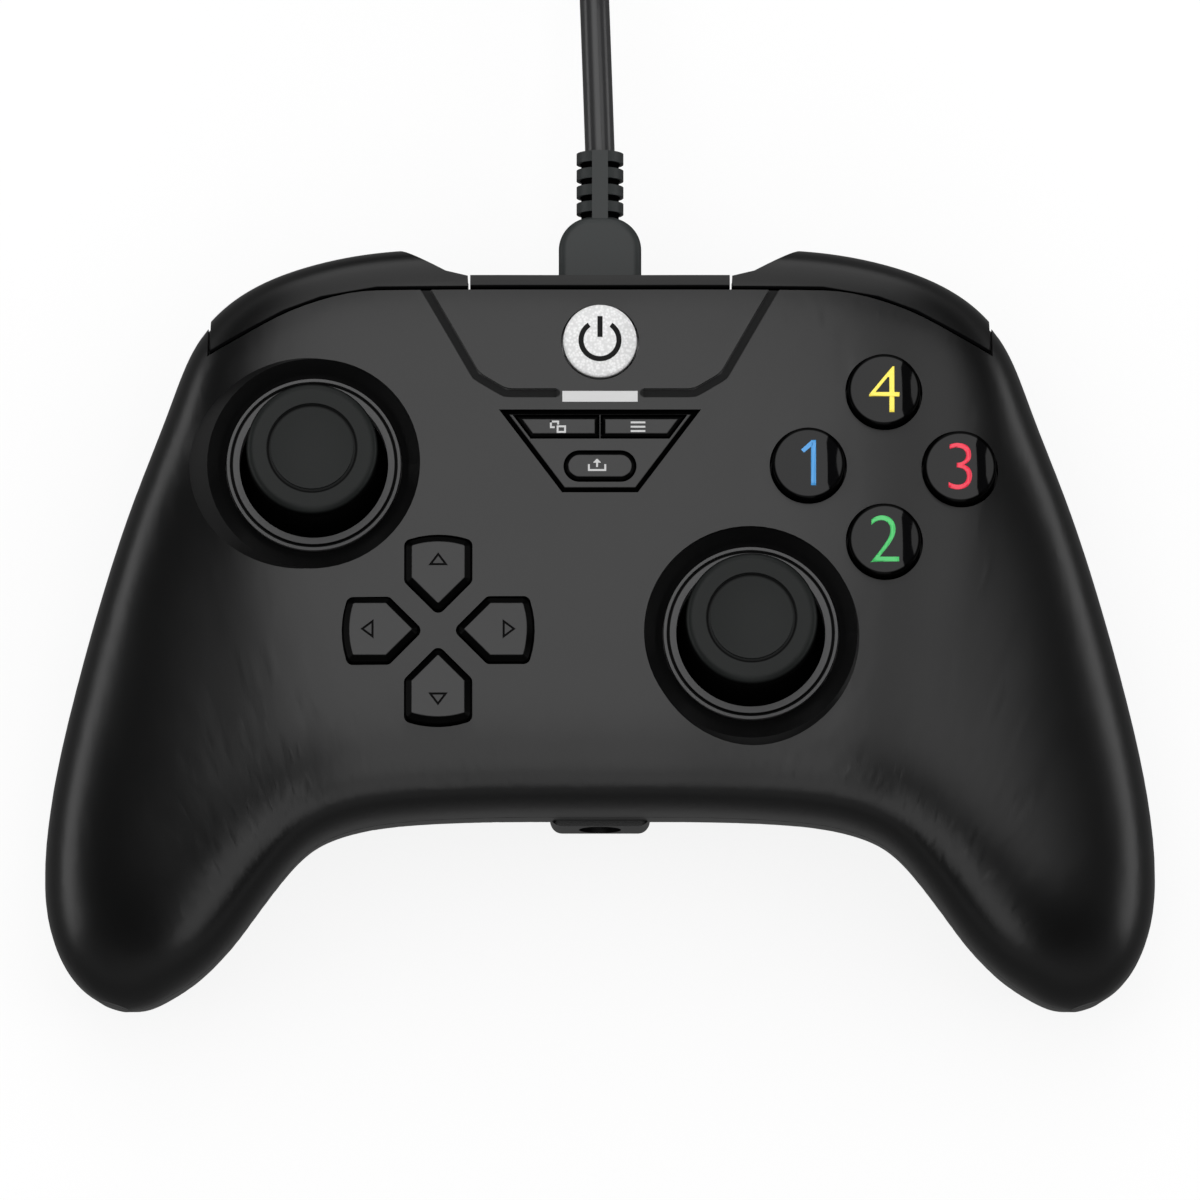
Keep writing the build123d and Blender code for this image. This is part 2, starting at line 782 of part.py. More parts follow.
def make_trigger_spring():
    centre = Vector(spring_x, trigger_pin_y, trigger_pin_z)
    start_x = -spring_turns * spring_pitch / 2
    lean = spring_pitch / (2 * math.pi * spring_radius)

    def at(half_turn):
        turn = math.pi * half_turn + math.pi / 2
        x = start_x + spring_pitch * half_turn / 2
        spot = Vector(x, spring_radius * math.cos(turn), spring_radius * math.sin(turn))
        way = Vector(lean, -math.sin(turn), math.cos(turn)).normalized()
        return centre + spot, way

    first, first_way = at(0)
    edges = [Edge.make_line(first - first_way * spring_radius, first)]
    for k in range(spring_turns * 2 - 1):
        edges += biarc(*at(k), *at(k + 1))
    last, last_way = at(spring_turns * 2 - 1)
    rear = trigger_pin_y + trigger_hub_radius
    edges.append(Edge.make_line(last, last + last_way * ((rear - last.Y) / last_way.Y)))
    return tube(edges, spring_wire)


def make_trigger_sensors():
    body = block(
        spring_x - switch_half, spring_x + switch_half, bay_front - rib - switch_half, bay_front - rib,
        trigger_pin_z - switch_half - switch_half, trigger_pin_z - switch_half / 2,
    )
    return body, flip(body)


def make_board():
    half = [(x * half_width, y * half_depth) for x, y in board_shares]
    left = [(-x, y) for x, y in reversed(half)]
    board = prism(half + left, board_bottom, board_top)
    holes = [rod(0, screw_places[-1][1], 0, reach, screw_boss_radius + panel_gap)]
    for side in (-1, 1):
        for x, y in board_screw_places:
            holes.append(rod(side * x, y, 0, reach, board_screw_radius + bearing_gap))
    return board.cut(*holes)


def mat_dome(x, y, share):
    low = board_top + mat_thickness
    return Pos(x, y, low) * Cone(
        mat_dome_radius * share, mat_dome_top_radius * share, mat_dome_height, align=BASE,
    )


def make_face_mat():
    x, y = face_centre
    long, short = face_spacing + mat_dome_radius, mat_dome_radius + rib
    high = board_top + mat_thickness
    parts = [
        block(x - long, x + long, y - short, y + short, board_top, high),
        block(x - short, x + short, y - long + rib, y + long - rib, board_top, high),
    ]
    parts += [mat_dome(px, py, 1) for px, py in face_places().values()]
    return joined(parts)


def make_dpad_mat():
    x, y = dpad_centre
    half = dpad_reach - rib
    parts = [block(x - half, x + half, y - half, y + half, board_top, board_top + mat_thickness)]
    parts += [mat_dome(*dpad_spot(angle), small_dome_share) for angle in dpad_angles.values()]
    return joined(parts)


def make_menu_mat():
    high = board_top + mat_thickness
    half = key_spot_x + mat_dome_radius
    parts = [
        block(-half, half, pill_y - mat_dome_radius, key_top_y, board_top, high),
        block(-mat_dome_radius, mat_dome_radius, key_top_y, home_spot_y + rib, board_top, high),
        mat_dome(-key_spot_x, key_spot_y, small_dome_share),
        mat_dome(key_spot_x, key_spot_y, small_dome_share),
        mat_dome(0, pill_y, small_dome_share),
        mat_dome(0, home_spot_y, small_dome_share),
    ]
    return joined(parts)


def domed_cap(x, y, radius, rise, travel, spot):
    level = surface_z(x, y)
    top = level + rise
    sphere_radius = (radius ** 2 + dome_crown_drop ** 2) / (2 * dome_crown_drop)
    ball = Pos(x, y, top - sphere_radius) * Sphere(sphere_radius)
    flange_top = level - collar_drop - foot_clearance
    cap = rod(x, y, flange_top - flange_thickness, top, radius) & ball
    rims = cap.edges().filter_by(lambda edge: edge.is_closed).sort_by(Axis.Z)
    cap = fillet(rims[-1], cap_rim_round)
    foot = mat_top + travel + foot_clearance
    stem = rod(x, y, foot + stem_shrink, flange_top, radius - stem_shrink)
    foot_rod = rod(*spot, foot, flange_top, mat_dome_top_radius)
    flange = rod(x, y, flange_top - flange_thickness, flange_top, radius + flange_reach)
    return joined([cap, flange, stem, foot_rod])


def make_face_button(name):
    x, y = face_places()[name]
    return domed_cap(x, y, face_cap_radius, face_cap_rise, face_travel, (x, y))


def make_home_button():
    return domed_cap(*home_place, home_radius, home_rise, small_travel, (home_place[0], home_spot_y))


def dpad_mark(angle, top):
    # Outline of a triangle that points outwards, cut into a key's top.
    face = make_face(Polyline((mark_base, -mark_half), (mark_tip, 0), (mark_base, mark_half), close=True))
    line = face - offset(face, -mark_line, kind=Kind.INTERSECTION)
    x, y = dpad_centre
    return Pos(x, y, top - mark_depth) * Rot(0, 0, angle) * extrude(line, wall, dir=(0, 0, 1))


def make_dpad_key(name):
    angle = dpad_angles[name]
    level = surface_z(*dpad_centre)
    top = level + dpad_rise
    flange_top = level - collar_drop - foot_clearance
    cap = dpad_prism(angle, moving_gap, flange_top, top)
    cap = sloped_top(cap, dpad_chamfer)
    flange = dpad_prism(angle, -moving_gap, flange_top - flange_thickness, flange_top)
    foot = mat_top + small_travel + foot_clearance
    stem = rod(*dpad_spot(angle), foot, flange_top, mat_dome_top_radius)
    return joined([cap, flange, stem]).cut(dpad_mark(angle, top))


def sloped_top(cap, size):
    return chamfer(cap.faces().sort_by(Axis.Z)[-1].edges(), size)


def make_menu_plate():
    face = sloped_top(prism(plate_points(0), plate_z - plate_thickness, plate_z), plate_chamfer)
    lip = prism(plate_points(plate_lip), plate_pad_z - plate_thickness / 2, plate_pad_z)
    neck = prism(plate_points(0), plate_pad_z - plate_thickness / 2, plate_z - plate_thickness)
    cuts = [prism(key_points(side, moving_gap), 0, reach) for side in (-1, 1)]
    return joined([face, neck, lip]).cut(*cuts, pill(moving_gap, 0, reach), light_window(0, reach))


def small_key(cap, flange, spot):
    foot = mat_top + small_travel + foot_clearance
    stem = rod(*spot, foot, key_flange_top, mat_dome_top_radius * small_dome_share + panel_gap)
    return joined([cap, flange, stem])


def make_menu_key(side):
    cap = sloped_top(prism(key_points(side, 0), key_flange_top, plate_z + key_rise), key_chamfer)
    inner = side * (panel_gap / 2 + bearing_gap)
    flange_face = [(inner if abs(x) < flange_reach else x, y) for x, y in key_points(side, flange_reach)]
    flange = prism(flange_face, key_flange_top - flange_thickness, key_flange_top)
    return small_key(cap, flange & menu_flange_room(), (side * key_spot_x, key_spot_y))


def menu_flange_room():
    front = pill_y + pill_radius + flange_reach + moving_gap
    return block(-reach, reach, front, light_y - light_depth, 0, reach)


def make_share_key():
    cap = sloped_top(pill(0, key_flange_top, plate_z + key_rise), key_chamfer)
    flange = pill(flange_reach, key_flange_top - flange_thickness, key_flange_top)
    return small_key(cap, flange, (0, pill_y))


def make_status_light():
    top = surface_z(0, light_y)
    return light_window(board_top + mat_thickness, top + bearing_gap)


def pivot_z(name):
    return surface_z(*stick_places[name]) - stick_pivot_drop


def make_stick_cap():
    # Drawn about the pivot, in the stick's own place; the skirt is a part of a ball.
    top = stick_pivot_drop + stick_rise
    outer = Sphere(dome_radius) - Sphere(dome_radius - dome_thickness)
    edge = dome_radius * math.cos(math.pi / 2 * dome_polar_share)
    skirt = outer & block(-reach, reach, -reach, reach, edge, reach)
    neck = rod(0, 0, dome_radius - dome_thickness, top - cap_thickness, neck_radius)
    cap = rod(0, 0, top - cap_thickness, top, stick_cap_radius)
    cap = fillet(cap.edges().group_by(Axis.Z)[-1], cap_round)
    cap = chamfer(cap.edges().group_by(Axis.Z)[0], cap_round)
    groove = Pos(0, 0, top - cap_groove) * (
        Cylinder(cap_groove_radius + cap_groove, cap_groove, align=BASE)
        - Cylinder(cap_groove_radius, cap_groove, align=BASE)
    )
    ball_radius = (cap_groove_radius ** 2 + cap_dish ** 2) / (2 * cap_dish)
    dish = Pos(0, 0, top + ball_radius - cap_dish) * Sphere(ball_radius)
    socket = rod(0, 0, 0, top - cap_thickness, post_radius)
    return joined([skirt, neck, cap]).cut(groove, dish, socket)


def make_stick_post():
    post = rod(0, 0, -post_drop, stick_pivot_drop + stick_rise - cap_thickness, post_radius)
    return chamfer(post.edges().group_by(Axis.Z)[0], post_tip)


def make_stick_pivot():
    body = rod(0, 0, -yoke_half_height, yoke_half_height, pivot_radius)
    shafts = rod_y(0, -yoke_radius + bearing_gap, yoke_radius - bearing_gap, 0, pivot_shaft_radius)
    return body.fuse(shafts).cut(rod(0, 0, -reach, reach, post_radius + bearing_gap))


def make_stick_yoke():
    body = rod(0, 0, -yoke_half_height, yoke_half_height, yoke_radius)
    shafts = rod_x(-pot_reach + module_wall, pot_reach - module_wall, 0, 0, yoke_shaft_radius)
    inside = rod(0, 0, -yoke_radius, yoke_radius, yoke_inner_radius)
    bore = rod_y(0, -reach, reach, 0, pivot_shaft_radius + bearing_gap)
    return body.fuse(shafts).cut(inside, bore)


def make_stick_module(base):
    # Housing, its two sensors and the click switch; base is the board's height below the pivot.
    half = module_half
    inner = half - module_wall
    top = yoke_half_height + module_wall
    body = block(-half, half, -half, half, base, top)
    well = block(-inner, inner, -inner, inner, base + module_wall, reach)
    pots = [
        block(half, pot_reach, -pot_half_width, pot_half_width, base, top),
        block(-pot_half_width, pot_half_width, half, pot_reach, base, top),
    ]
    switch = rod(0, 0, base, -post_drop - post_travel - foot_clearance, click_switch_radius)
    bore = rod_x(-half, half, 0, 0, yoke_shaft_radius + bearing_gap)
    far_bore = rod_x(half, pot_reach - module_wall + bearing_gap, 0, 0, yoke_shaft_radius + bearing_gap)
    near = block(-pot_reach, -half, -pot_half_width / 2, pot_half_width / 2, base, top)
    near_bore = rod_x(-pot_reach + module_wall - bearing_gap, -half, 0, 0, yoke_shaft_radius + bearing_gap)
    return body.fuse(*pots, near).cut(well, bore, far_bore, near_bore).fuse(switch)


def make_stick_ring():
    # Drawn about the face level at the stick.
    outer = surround_hole_radius - ring_gap
    low = -surround_pad_drop - ring_flange_thickness
    body = rod(0, 0, low, -surround_drop, outer)
    flange = rod(0, 0, low, -surround_pad_drop, ring_flange_radius)
    inside = rod(0, 0, -reach, reach, ring_inner_radius)
    groove_low = -surround_drop - ring_groove_width - ring_groove_width
    groove = rod(0, 0, groove_low, 0, ring_groove_radius + ring_groove_width / 2)
    groove = groove - rod(0, 0, groove_low, 0, ring_groove_radius - ring_groove_width / 2)
    return body.fuse(flange).cut(inside, groove)


def make_usb_socket():
    body = block(
        -usb_half_width, usb_half_width, usb_front, usb_back,
        usb_axis_z - usb_half_height - bearing_gap, usb_axis_z + usb_half_height,
    )
    mouth = block(
        -plug_half_width - bearing_gap, plug_half_width + bearing_gap, plug_tip_front - panel_gap, reach,
        usb_axis_z - plug_half_height - bearing_gap, usb_axis_z + plug_half_height + bearing_gap,
    )
    return body - mouth


def make_plug_tip():
    return block(
        -plug_half_width, plug_half_width, plug_tip_front, head_front,
        usb_axis_z - plug_half_height, usb_axis_z + plug_half_height,
    )


def make_cable_boot():
    low, high = usb_axis_z - head_half_height, usb_axis_z + head_half_height
    head = block(-head_half_width, head_half_width, head_front, head_rear, low, high)
    rear_edges = head.edges().filter_by(Axis.Z).sort_by(Axis.Y)[-2:]
    head = fillet(rear_edges, head_corner)
    head = fillet(head.faces().sort_by(Axis.Z)[-1].edges(), boot_round)
    head = fillet(head.faces().sort_by(Axis.Z)[0].edges(), boot_round)
    core = rod_y(0, head_rear - rib, relief_rear, usb_axis_z, relief_core_radius)
    spine = block(
        -relief_spine_half, relief_spine_half, head_rear - rib, relief_rear,
        usb_axis_z - relief_half, usb_axis_z + relief_half,
    )
    parts = [head, core, spine]
    step = (relief_rear - head_rear) / relief_ribs
    for k in range(relief_ribs):
        start = head_rear + step * (k + relief_slot_share)
        parts.append(rod_y(0, start, head_rear + step * (k + 1), usb_axis_z, relief_half))
    return joined(parts)


def make_headset_jack():
    body = block(-jack_half_width, jack_half_width, jack_front, jack_rear, jack_low, board_bottom)
    collar = rod_y(0, boss_front + collar_inset, jack_front, jack_axis_z, jack_collar_radius)
    bore = rod_y(0, boss_front, jack_rear - module_wall, jack_axis_z, jack_bore_radius)
    return body.fuse(collar).cut(bore)


def make_rumble_motor():
    return rod_y(motor_x, motor_y, motor_y + motor_length, motor_z, motor_radius)


def make_rumble_weight():
    start = motor_y + motor_length + module_wall
    disc = rod_y(motor_x, start, start + weight_thickness, motor_z, weight_radius)
    lower = block(0, reach, -reach, reach, 0, motor_z + motor_shaft_radius)
    hub_start = motor_y + motor_length + foot_clearance
    hub = rod_y(motor_x, hub_start, start + weight_thickness, motor_z, weight_hub_radius)
    return (disc & lower).fuse(hub)


def make_housing_screws():
    solids = []
    for x, y, split in screw_places:
        for side in (-1, 1) if x else (1,):
            seat = split - screw_seat
            head = rod(side * x, y, seat - screw_head_height, seat, screw_head_radius)
            shank = rod(side * x, y, seat, split + screw_grip, screw_radius)
            slot_top = seat - screw_head_height / 2
            slot = block(-screw_radius, screw_radius, -panel_gap, panel_gap, 0, slot_top)
            solids.append(head.fuse(shank).cut(Pos(side * x, y, 0) * slot))
    return solids


def make_board_screws():
    solids = []
    for x, y in board_screw_places:
        for side in (-1, 1):
            head = rod(side * x, y, board_top, board_top + board_screw_head_height, board_screw_head_radius)
            shank = rod(side * x, y, board_top - board_screw_length, board_top, board_screw_radius)
            solids.append(head.fuse(shank))
    return solids


def cord_stretch(points):
    spots = [Vector(*p) for p in points]
    radii = []
    for before, spot, after in zip(spots, spots[1:], spots[2:]):
        run_in, run_out = spot - before, after - spot
        turn = math.radians(run_in.get_angle(run_out))
        shorter = min(run_in.length, run_out.length)
        radii.append(cord_bend_share * shorter / math.tan(turn / 2))
    path = FilletPolyline(*spots, radius=radii)
    solid = tube(path.edges(), cord_radius)
    section = math.pi * cord_radius ** 2
    print("cord radii", [round(r, 1) for r in radii], "length", round(path.length, 1),
          "volume over section x length", round(solid.volume / (section * path.length), 4))
    return solid


def coil_steps():
    # Radius and height at each half turn. The half of a turn nearer the pad changes the radius,
    # the half beyond it climbs from layer to layer.
    radii = [coil_outer_radius - coil_pitch * k for k in range(coil_radii)]
    steps = []
    for layer in range(coil_layers):
        z = coil_rest + coil_pitch * layer
        order = radii if layer % 2 == 0 else radii[::-1]
        if layer:
            order = order[1:]
        for radius in order:
            climbs = radius == order[-1] and layer < coil_layers - 1
            steps.append((radius, z))
            steps.append((radius, z + coil_pitch if climbs else z))
    steps.append((coil_outer_radius + coil_pitch, steps[-1][1]))
    return steps


def coil_centre():
    return Vector(lead_points[-1][0] - coil_outer_radius, coil_entry_y, 0)


def coil_edges():
    spots = []
    for k, (radius, z) in enumerate(coil_steps()):
        side = 1 if k % 2 == 0 else -1
        spots.append((coil_centre() + Vector(side * radius, 0, z), Vector(0, side, 0)))
    first, first_way = spots[0]
    edges = [Edge.make_line(first - first_way * cord_diameter, first)]
    for start, end in zip(spots, spots[1:]):
        edges += biarc(*start, *end)
    last, last_way = spots[-1]
    edges.append(Edge.make_line(last, last + last_way * cord_diameter))
    return edges


def least_gap(edges, diameter, per_edge, skipped):
    # Distance between turns on points along the path, neighbours along it left out.
    spots = []
    for edge in edges:
        spots += [tuple(edge @ (k / per_edge)) for k in range(per_edge)]
    best = reach
    for k, spot in enumerate(spots):
        for other in spots[k + skipped * per_edge:]:
            best = min(best, math.dist(spot, other))
    return best - diameter


def make_coil():
    edges = coil_edges()
    solid = tube(edges, cord_radius)
    length = sum(edge.length for edge in edges)
    print("coil length", round(length, 1), "volume over section x length",
          round(solid.volume / (math.pi * cord_radius ** 2 * length), 4),
          "least gap", round(least_gap(edges, cord_diameter, gap_samples, gap_skipped), 2))
    return solid


def make_cord_tie():
    centre = coil_centre()
    top = coil_steps()[-1][1] + cord_radius + tie_gap
    inner = centre.Y + coil_outer_radius - coil_pitch * (coil_radii - 1) - cord_radius - tie_gap
    outer = centre.Y + coil_outer_radius + cord_radius + tie_gap
    x0, x1 = centre.X - tie_width / 2, centre.X + tie_width / 2
    band = block(x0, x1, inner - tie_thickness, outer + tie_thickness, 0, top + tie_thickness)
    band = fillet(band.edges().filter_by(Axis.X), tie_round)
    inside = block(x0, x1, inner, outer, tie_thickness, top)
    return band - fillet(inside.edges().filter_by(Axis.X), tie_thickness)


def make_usb_a_body():
    x, y, z = tail_points[-1]
    body = block(
        x - usb_a_length, x, y - usb_a_half_width, y + usb_a_half_width,
        z - usb_a_half_height, z + usb_a_half_height,
    )
    return fillet(body.edges().filter_by(Axis.X), usb_a_round)


def make_usb_a_shield():
    x, y, z = tail_points[-1]
    x = x - usb_a_length
    shield = block(
        x - shield_length, x, y - shield_half_width, y + shield_half_width,
        z - shield_half_height, z + shield_half_height,
    )
    mouth_half = shield_half_width - panel_gap
    mouth = block(
        x - shield_length, x - panel_gap, y - mouth_half, y + mouth_half,
        z, z + shield_half_height - panel_gap,
    )
    return shield - mouth


def export_all(nodes):
    os.makedirs("parts", exist_ok=True)
    for name, shape in nodes.items():
        solids = shape if isinstance(shape, (list, tuple)) else [shape]
        whole = solids[0] if len(solids) == 1 else Compound(children=list(solids))
        export_step(whole, "parts/" + name + ".step")


def make_nodes():
    nodes = {
        "top_shell": make_top_shell(),
        "bottom_shell": make_bottom_shell(),
        "back_bridge": make_bridge(),
        "main_board": make_board(),
        "face_button_mat": make_face_mat(),
        "dpad_mat": make_dpad_mat(),
        "menu_button_mat": make_menu_mat(),
        "home_button": make_home_button(),
        "menu_plate": make_menu_plate(),
        "view_button": make_menu_key(-1),
        "menu_button": make_menu_key(1),
        "share_button": make_share_key(),
        "status_light": make_status_light(),
        "usb_socket": make_usb_socket(),
        "plug_tip": make_plug_tip(),
        "cable_boot": make_cable_boot(),
        "headset_jack": make_headset_jack(),
        "bumper_switches": make_bumper_switches(),
        "trigger_sensors": make_trigger_sensors(),
        "housing_screws": make_housing_screws(),
        "board_screws": make_board_screws(),
    }
    for name in face_places():
        nodes[name] = make_face_button(name)
    for name in dpad_angles:
        nodes[name] = make_dpad_key(name)
    for maker, name in (
        (make_bumper, "bumper"), (make_trigger, "trigger"), (make_trigger_pin, "trigger_pin"),
        (make_trigger_spring, "trigger_spring"), (make_rumble_motor, "rumble_motor"),
        (make_rumble_weight, "rumble_weight"),
    ):
        right = maker()
        nodes["right_" + name] = right
        nodes["left_" + name] = flip(right)
    for name, (x, y) in stick_places.items():
        at_pivot = Pos(x, y, pivot_z(name))
        nodes[name + "_stick_cap"] = at_pivot * make_stick_cap()
        nodes[name + "_stick_post"] = at_pivot * make_stick_post()
        nodes[name + "_stick_pivot"] = at_pivot * make_stick_pivot()
        nodes[name + "_stick_yoke"] = at_pivot * make_stick_yoke()
        nodes[name + "_stick_module"] = at_pivot * make_stick_module(board_top - pivot_z(name))
        nodes[name + "_stick_ring"] = Pos(x, y, surround_level(name)) * make_stick_ring()
    nodes["cord_lead"] = cord_stretch(lead_points)
    nodes["cord_coil"] = make_coil()
    nodes["cord_tail"] = cord_stretch(tail_points)
    nodes["cord_tie"] = make_cord_tie()
    nodes["usb_a_body"] = make_usb_a_body()
    nodes["usb_a_shield"] = make_usb_a_shield()
    return nodes


if __name__ == "__main__":
    export_all(make_nodes())
    for name in stick_places:
        print(name, "stick face level", round(surround_level(name), 3), "pivot", round(pivot_z(name), 3))
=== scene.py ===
"""Wired gamepad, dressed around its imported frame. Run as a script; sizes are in metres."""

import math

import bmesh
import bpy
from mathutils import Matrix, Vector


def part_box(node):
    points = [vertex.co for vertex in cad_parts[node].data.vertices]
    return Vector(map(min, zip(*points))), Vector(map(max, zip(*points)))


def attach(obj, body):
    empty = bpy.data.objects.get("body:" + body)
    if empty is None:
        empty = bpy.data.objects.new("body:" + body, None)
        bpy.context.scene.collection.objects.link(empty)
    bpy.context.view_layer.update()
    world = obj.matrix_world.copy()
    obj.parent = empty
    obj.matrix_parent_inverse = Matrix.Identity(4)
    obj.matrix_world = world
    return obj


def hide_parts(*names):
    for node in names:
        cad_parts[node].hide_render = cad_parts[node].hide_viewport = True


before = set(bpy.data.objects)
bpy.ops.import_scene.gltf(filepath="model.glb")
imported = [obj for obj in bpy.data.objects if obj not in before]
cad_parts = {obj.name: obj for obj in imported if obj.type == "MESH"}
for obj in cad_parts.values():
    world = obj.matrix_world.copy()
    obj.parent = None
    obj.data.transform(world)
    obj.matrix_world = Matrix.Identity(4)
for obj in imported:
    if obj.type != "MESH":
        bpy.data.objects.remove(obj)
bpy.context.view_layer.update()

bl_info = {
    "name": "Wired gamepad",
    "version": (1, 0, 0),
    "blender": (4, 5, 0),
    "location": "3D View > Sidebar > Gamepad",
    "description": "Models and finishes a wired gamepad on its frame",
    "category": "Object",
}

MM = 0.001
BODY = "pad"

# Width and depth of the grains of satin plastic, of ink, and of rubber and plain plastic
SATIN_GRAIN = (0.00022, 0.000004)
INK_GRAIN = (0.0002, 0.000002)
COARSE_GRAIN = (0.0004, 0.00001)

# A flat sign is drawn this far above a top, then dropped on it
SIGN_LIFT = 0.001
# Ink stands this far proud of what it is printed on
INK_DEPTH = 0.00003
# Signs on level tops need cuts no finer than this
LEVEL_FINENESS = 0.002
# Noise seldom leaves this range
NOISE_RANGE = (0.3, 0.7)
# Edges sharper than this stay sharp when a piece is shaded smooth
SHARP_ANGLE = math.radians(35)


# Sizes and colours that a user would change

def length(name, description, default):
    """A size property."""
    return bpy.props.FloatProperty(
        name=name, description=description, default=default, unit="LENGTH", precision=5)


def share(name, description, default):
    """A property from 0 to 1."""
    return bpy.props.FloatProperty(
        name=name, description=description, default=default, min=0.0, max=1.0, subtype="FACTOR")


def colour(name, description, default):
    """A colour property with alpha."""
    return bpy.props.FloatVectorProperty(
        name=name, description=description, default=default, size=4, min=0.0, max=1.0, subtype="COLOR")


class StageSettings(bpy.types.PropertyGroup):
    camera_distance: length("Camera distance", "From the camera to the middle of the face", 2.0)
    camera_elevation: bpy.props.FloatProperty(
        name="Camera elevation", description="Angle above the horizon",
        default=math.radians(80.4), subtype="ANGLE")
    field_width: length("Field width", "Width that the camera sees at the face", 0.1638)
    floor_size: length("Floor size", "Side of the floor", 8.0)
    paper: colour("Paper", "Colour of the floor and backdrop", (0.86, 0.86, 0.86, 1.0))
    glow: share("Horizon glow", "Brightness of the room near the horizon in gloss", 0.30)
    glow_low: share("Glow's low end", "Sine of the height up to which it is full", 0.20)
    glow_high: share("Glow's high end", "Sine of the height at which it has faded", 0.36)
    mirrored_floor: share("Mirrored floor", "Brightness of the floor in gloss", 0.16)


class ShellSettings(bpy.types.PropertyGroup):
    plastic: colour("Shell plastic", "Satin black of both shells", (0.0014, 0.0014, 0.0015, 1.0))
    roughness: share("Shell roughness", "How blurred its reflections are", 0.30)
    grain_size: length("Grain size", "Width of the moulded texture's grains", SATIN_GRAIN[0])


class CableSettings(bpy.types.PropertyGroup):
    diameter: length("Cable diameter", "Outside diameter of the sheath", 0.0041)
    sheath: colour("Sheath", "Colour of the cable's sheath", (0.018, 0.018, 0.019, 1.0))


class ControlSettings(bpy.types.PropertyGroup):
    cap_plastic: colour("Cap plastic", "Glossy black of the face buttons", (0.0022, 0.0022, 0.0024, 1.0))
    key_plastic: colour("Key plastic", "Satin black of the keys", (0.0150, 0.0150, 0.0153, 1.0))
    # The keys' sloping edges and cut marks are painted this black as painted shade, not the plastic's own
    # colour.
    key_edge_painted_shade: colour("Key edges", "Black of the keys' sloping edges", (0.0008, 0.0008, 0.0008, 1.0))
    left_ink: colour("Left digit", "Ink of the left button's digit", (0.045, 0.275, 0.625, 1.0))
    bottom_ink: colour("Bottom digit", "Ink of the bottom button's digit", (0.047, 0.48, 0.117, 1.0))
    right_ink: colour("Right digit", "Ink of the right button's digit", (0.745, 0.014, 0.051, 1.0))
    top_ink: colour("Top digit", "Ink of the top button's digit", (0.914, 0.745, 0.080, 1.0))
    sign_ink: colour("Sign ink", "Pale ink of the small signs", (0.48, 0.48, 0.48, 1.0))
    home_white: colour("Home white", "White of the home button", (0.68, 0.68, 0.68, 1.0))
    light_grey: colour("Light bar", "Frosted grey of the light bar", (0.50, 0.50, 0.50, 1.0))
    digit_height: length("Digit height", "Height of the digits on the face buttons", 0.0070)
    # Outside this radius a cap loses its gloss and is painted black, as painted shade on its rim and sides.
    cap_shine: length("Cap shine", "Radius of a face button's shining top", 0.0046)


class StickSettings(bpy.types.PropertyGroup):
    rubber: colour("Stick rubber", "Grip of both sticks", (0.0062, 0.0074, 0.0070, 1.0))
    ring: colour("Ring plastic", "Collar round each stick", (0.060, 0.060, 0.061, 1.0))


SETTINGS = (
    ("gamepad_stage", StageSettings),
    ("gamepad_shell", ShellSettings),
    ("gamepad_cable", CableSettings),
    ("gamepad_controls", ControlSettings),
    ("gamepad_sticks", StickSettings),
)


# Tools for selecting, measuring and finishing pieces

def deselect():
    """Leaves edit mode and selects nothing."""
    if bpy.context.object and bpy.context.object.mode != "OBJECT":
        bpy.ops.object.mode_set(mode="OBJECT")
    bpy.ops.object.select_all(action="DESELECT")


def activate(piece):
    """Selects that piece alone and makes it active."""
    deselect()
    piece.select_set(True)
    bpy.context.view_layer.objects.active = piece


def settle(piece):
    """Moves the piece's place, turn and scale into its mesh."""
    activate(piece)
    bpy.ops.object.transform_apply(location=True, rotation=True, scale=True)


def finish_piece(piece, name, body, material):
    """Gives a new piece its name, material, body and slot."""
    piece.name = name
    piece.data.name = name
    piece.data.materials.clear()
    piece.data.materials.append(material)
    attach(piece, body)


def dress(node, material):
    """Gives a node of the frame that material alone."""
    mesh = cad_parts[node].data
    mesh.materials.clear()
    mesh.materials.append(material)


def top_of(node):
    """Height of the node's highest point."""
    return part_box(node)[1][2]


def middle_of(node):
    """Middle of the node's box in plan."""
    low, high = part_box(node)
    return (low[0] + high[0]) / 2, (low[1] + high[1]) / 2


def bevel(piece, width, segments):
    """Rounds every edge of a piece and shades it smooth."""
    activate(piece)
    bpy.ops.object.mode_set(mode="EDIT")
    bpy.ops.mesh.select_all(action="SELECT")
    bpy.ops.mesh.bevel(offset=width, segments=segments, affect="EDGES")
    bpy.ops.object.mode_set(mode="OBJECT")
    bpy.ops.object.shade_smooth_by_angle(angle=SHARP_ANGLE)


# Node building

def grey(level):
    """A neutral colour of that level."""
    return (level, level, level, 1.0)


def darker(base, part):
    """A colour with that part of another's light."""
    return tuple(c * part for c in base[:3]) + (1.0,)


